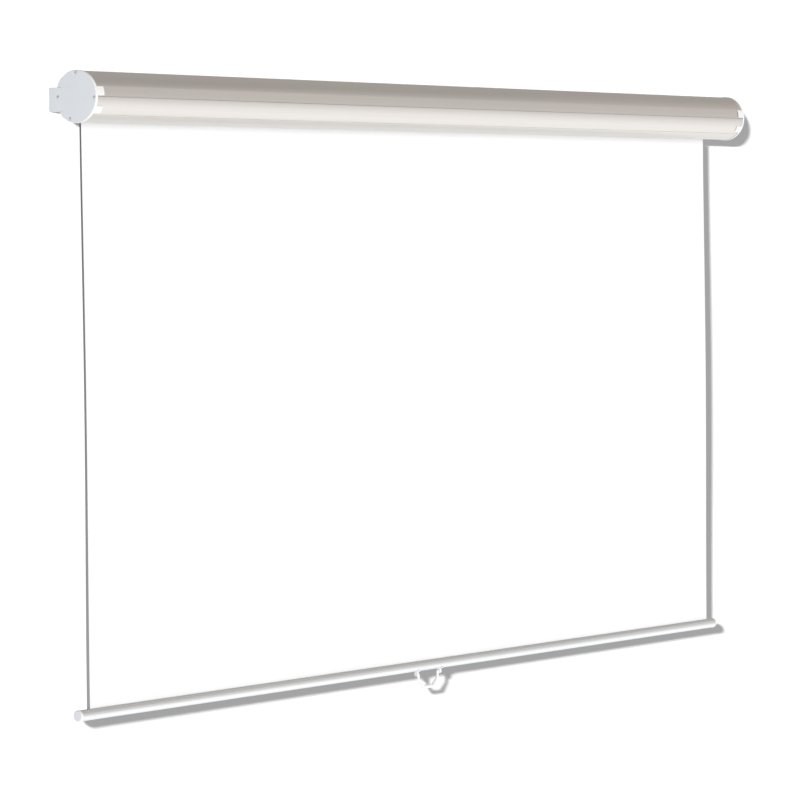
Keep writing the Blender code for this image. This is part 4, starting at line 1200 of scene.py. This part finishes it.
def build_handle(scene):
    """The bail: trunnions in the clips, upright legs, and a narrower, thicker grip between slants."""
    handle = scene.screen_handle
    right = [(BAIL_HIGH.x, 0.0, 0.0), (BAIL_HALF, 0.0, TRUNNION_BEND),
             (BAIL_HALF, -LEG_LENGTH, LEG_BEND), (GRIP_HALF, -BAIL_DEPTH, GRIP_BEND)]
    corners = [(-x, z, radius) for x, z, radius in right] + right[::-1]
    flat = softened(corners, 14, loop=False)
    apart = np.linalg.norm(np.diff(flat, axis=0), axis=1) > 10 * WELD
    flat = resampled(flat[np.concatenate([[True], apart])], BAIL_RINGS)
    share = np.clip((-flat[:, 1] - LEG_LENGTH) / (BAIL_DEPTH - LEG_LENGTH), 0.0, 1.0)
    radii = handle.wire * (1 + handle.swell * share)
    radii[[0, -1]] *= TRUNNION_TAPER
    path = np.column_stack([flat[:, 0], np.full(len(flat), PIVOT.y), PIVOT.z + flat[:, 1]])
    piece = add_piece("handle", swept("handle", path, radii, BAIL_SEGMENTS), FINISHES["white_plastic"])
    settle(piece, "pull_handle", "white_plastic", "pull_handle")


def resampled(path, count):
    """The same path with its points at even distances."""
    steps = np.concatenate([[0.0], np.cumsum(np.linalg.norm(np.diff(path, axis=0), axis=1))])
    at = np.linspace(0.0, steps[-1], count)
    return np.column_stack([np.interp(at, steps, path[:, k]) for k in range(path.shape[1])])


def dress_inner_nodes():
    """The inner pieces keep their CAD shapes and get the finish of their slot."""
    slots = {part["node"]: part["material_slot"] for part in frame["record"]["subparts"]}
    for name, made in frame["nodes"].items():
        if made.hide_render:
            continue
        made.data.materials.clear()
        made.data.materials.append(FINISHES[slots[name]])


# Stage

def stage_plane(name, corners, colour, glow):
    """A plain surface of the stage that scatters light and glows evenly by itself. The camera sees it
    only from the front, and no other ray meets it."""
    mesh = bpy.data.meshes.new(name)
    mesh.from_pydata(corners, [], [(0, 1, 2, 3)])
    made = linked(name, mesh)
    material = bpy.data.materials.new(name)
    material.use_nodes = True
    tree = material.node_tree
    tree.nodes.remove(tree.nodes["Principled BSDF"])
    matt = node(tree, "ShaderNodeBsdfDiffuse", Color=colour)
    even = node(tree, "ShaderNodeEmission", Strength=glow)
    clear = tree.nodes.new("ShaderNodeBsdfTransparent")
    seen = tree.nodes.new("ShaderNodeAddShader")
    plug(tree, seen.inputs[0], matt.outputs[0])
    plug(tree, seen.inputs[1], even.outputs[0])
    path = tree.nodes.new("ShaderNodeLightPath").outputs
    back = tree.nodes.new("ShaderNodeNewGeometry").outputs["Backfacing"]
    share = maths(tree, "MULTIPLY", path["Is Camera Ray"], maths(tree, "SUBTRACT", 1.0, back))
    mix = tree.nodes.new("ShaderNodeMixShader")
    for number, value in enumerate((share, clear.outputs[0], seen.outputs[0])):
        plug(tree, mix.inputs[number], value)
    feed(tree, tree.nodes["Material Output"], Surface=mix.outputs[0])
    mesh.materials.append(material)
    return made


def sun(name, direction, width_deg, strength):
    """A sun that shines along the direction."""
    light = bpy.data.lights.new(name, "SUN")
    light.energy = strength
    light.angle = math.radians(width_deg)
    made = linked(name, light)
    made.rotation_mode = "QUATERNION"
    made.rotation_quaternion = Vector(direction).to_track_quat("-Z", "Y")
    return made


def height_bands(tree, height, stops):
    """A colour ramp over the height, with each stop (place, brightness v, warmth w) in the colour
    (v, v * (1 - w), v * (1 - 2w)); gives its output socket."""
    made = node(tree, "ShaderNodeValToRGB", Fac=height)
    elements = made.color_ramp.elements
    while len(elements) > 1:
        elements.remove(elements[-1])
    for place, _, _ in stops[1:]:
        elements.new(place)
    for element, (place, value, warmth) in zip(elements, stops):
        element.position = place
        element.color = (value, value * (1 - warmth), value * (1 - 2 * warmth), 1.0)
    return made.outputs["Color"]


def make_world():
    """Studio surroundings: bright below, dimmer above and behind, and cool on the left. The camera
    sees them white."""
    world = bpy.data.worlds.new("studio")
    bpy.context.scene.world = world
    world.use_nodes = True
    tree = world.node_tree
    split = axes(tree, tree.nodes.new("ShaderNodeTexCoord").outputs["Generated"])
    height = maths(tree, "MULTIPLY_ADD", split["Z"], 0.5, 0.5)
    behind = ramp(tree, split["Y"], -0.2, 0.3)
    left = ramp(tree, split["X"], -0.8, -0.3, 1.0, 0.0)
    bands = [height_bands(tree, height, stops) for stops in (ROOM_IN_FRONT, ROOM_BEHIND)]
    room = mixed(tree, behind, *bands)
    sky = multiplied(tree, room, mixed(tree, left, WHITE, COOL_LIGHT))
    seen = tree.nodes.new("ShaderNodeLightPath").outputs["Is Camera Ray"]
    feed(tree, tree.nodes["Background"], Color=mixed(tree, seen, sky, WHITE))


def make_camera():
    """The camera at the photograph's place, from the fitted yaw, pitch, roll and distance."""
    yaw, pitch, roll = (math.radians(v) for v in (YAW_DEG, PITCH_DEG, ROLL_DEG))
    ahead = Vector((math.sin(yaw) * math.cos(pitch), math.cos(yaw) * math.cos(pitch), math.sin(pitch)))
    right = Vector((math.cos(yaw), -math.sin(yaw), 0.0))
    up = right.cross(ahead)
    turned_right = right * math.cos(roll) + up * math.sin(roll)
    turned_up = up * math.cos(roll) - right * math.sin(roll)
    data = bpy.data.cameras.new("camera")
    data.sensor_width = SENSOR
    data.lens = FOCAL_PIXELS * SENSOR / IMAGE_SIDE
    data.clip_start, data.clip_end = 0.1, 100.0
    made = linked("camera", data)
    turn = Matrix((turned_right, turned_up, -ahead)).transposed().to_4x4()
    made.matrix_world = Matrix.Translation(AIM - DISTANCE * ahead) @ turn
    bpy.context.scene.camera = made


def collected(name, members):
    """A collection that links lights to these objects."""
    collection = bpy.data.collections.new(name)
    for made in members:
        collection.objects.link(made)
    return collection


def build_wall(name, low, high, light, strength, blockers):
    """A strip of the wall with its own sun, whose light falls on this strip alone. Where blockers are
    given, only they shade it."""
    reach = STAGE_REACH
    direction, width_deg = light
    wall = stage_plane(name, [(-reach, 0, low), (reach, 0, low), (reach, 0, high), (-reach, 0, high)],
                       WALL_TONE, WALL_GLOW)
    made = sun(name + "_sun", direction, width_deg, strength * Vector(direction).length)
    made.light_linking.receiver_collection = collected("lit_by_" + made.name, [wall])
    if blockers:
        made.light_linking.blocker_collection = collected("shades_" + name, blockers)
    return wall


def build_stage(scene):
    """Floor, camera and lights. The wall is in two parts: a sun draws the case's shadow on the upper
    one, and another draws the shadow of the sheet, the bar and the handle on the lower one."""
    settings = scene.screen_stage
    reach, drop = STAGE_REACH, settings.floor_drop
    stage_plane("floor", [(-reach, -reach, -drop), (reach, -reach, -drop), (reach, reach, -drop),
                          (-reach, reach, -drop)], FLOOR_TONE, FLOOR_GLOW)
    hanging = [made for made in bpy.data.objects if made.name.startswith(HANGING)]
    walls = [build_wall("wall_upper", WALL_SEAM, reach, UPPER_SUN, settings.wall_light, None),
             build_wall("wall_lower", -drop, WALL_SEAM, LOWER_SUN, settings.wall_light, hanging)]
    not_wall = collected("lit_by_key", walls)
    for member in not_wall.collection_objects:
        member.light_linking.link_state = "EXCLUDE"
    key = sun("key_sun", *KEY_SUN, settings.key_light)
    key.light_linking.receiver_collection = not_wall
    make_world()
    make_camera()
    scene.view_settings.view_transform = "Standard"
    scene.view_settings.look = "None"


# Operators and panel

class SCREEN_OT_case(bpy.types.Operator):
    """Build the extruded case"""
    bl_idname = "screen.case"
    bl_label = "Case"

    def execute(self, context):
        build_case(context.scene)
        return {"FINISHED"}


class SCREEN_OT_ends(bpy.types.Operator):
    """Build both end caps, their screws and the wall brackets"""
    bl_idname = "screen.ends"
    bl_label = "Caps, screws and brackets"

    def execute(self, context):
        for end in SIDES:
            build_cap(context.scene, end)
            for where in SCREW_DEGS:
                build_screw(end, where)
            build_bracket(end)
        return {"FINISHED"}


class SCREEN_OT_fabric(bpy.types.Operator):
    """Build the sheet, the turns left on the roller and the hem"""
    bl_idname = "screen.fabric"
    bl_label = "Sheet, roll and hem"

    def execute(self, context):
        build_sheet(context.scene)
        build_roll(context.scene)
        build_hem(context.scene)
        return {"FINISHED"}


class SCREEN_OT_bar(bpy.types.Operator):
    """Build the drop bar and its end plugs"""
    bl_idname = "screen.bar"
    bl_label = "Drop bar"

    def execute(self, context):
        build_bar(context.scene)
        for end in SIDES:
            build_bar_plug(context.scene, end)
        return {"FINISHED"}


class SCREEN_OT_handle(bpy.types.Operator):
    """Build the pull handle and the clips that it swings in"""
    bl_idname = "screen.handle"
    bl_label = "Handle and clips"

    def execute(self, context):
        build_handle(context.scene)
        for end in SIDES:
            build_clip(context.scene, end)
        return {"FINISHED"}


class SCREEN_OT_inside(bpy.types.Operator):
    """Give the roller, spring drive and ratchet their finishes"""
    bl_idname = "screen.inside"
    bl_label = "Inner pieces"

    def execute(self, context):
        dress_inner_nodes()
        return {"FINISHED"}


class SCREEN_OT_stage(bpy.types.Operator):
    """Set the wall, floor, light and camera"""
    bl_idname = "screen.stage"
    bl_label = "Stage"

    def execute(self, context):
        build_stage(context.scene)
        return {"FINISHED"}


class SCREEN_PT_panel(bpy.types.Panel):
    """The steps and sizes of the projector screen"""
    bl_idname = "SCREEN_PT_panel"
    bl_label = "Projector screen"
    bl_space_type = "VIEW_3D"
    bl_region_type = "UI"
    bl_category = "Projector screen"

    def draw(self, context):
        scene = context.scene
        for group in SETTINGS:
            box = self.layout.box()
            settings = getattr(scene, group)
            for name in settings.bl_rna.properties.keys():
                if name not in ("rna_type", "name"):
                    box.prop(settings, name)
        for operator in OPERATORS:
            self.layout.operator(operator.bl_idname)


SETTINGS = {
    "screen_case": CaseSettings,
    "screen_caps": CapSettings,
    "screen_sheet": SheetSettings,
    "screen_bar": BarSettings,
    "screen_handle": HandleSettings,
    "screen_stage": StageSettings,
}
OPERATORS = (SCREEN_OT_case, SCREEN_OT_ends, SCREEN_OT_fabric, SCREEN_OT_bar, SCREEN_OT_handle,
             SCREEN_OT_inside, SCREEN_OT_stage)


def register():
    for settings in SETTINGS.values():
        bpy.utils.register_class(settings)
    for name, settings in SETTINGS.items():
        setattr(bpy.types.Scene, name, PointerProperty(type=settings))
    for cls in (*OPERATORS, SCREEN_PT_panel):
        bpy.utils.register_class(cls)


def unregister():
    for cls in (SCREEN_PT_panel, *reversed(OPERATORS)):
        bpy.utils.unregister_class(cls)
    for name, settings in SETTINGS.items():
        delattr(bpy.types.Scene, name)
        bpy.utils.unregister_class(settings)


def main():
    register()
    FINISHES.update(make_finishes(bpy.context.scene))
    bpy.ops.screen.case()
    bpy.ops.screen.ends()
    bpy.ops.screen.fabric()
    bpy.ops.screen.bar()
    bpy.ops.screen.handle()
    bpy.ops.screen.inside()
    bpy.ops.screen.stage()


if __name__ == "__main__":
    main()
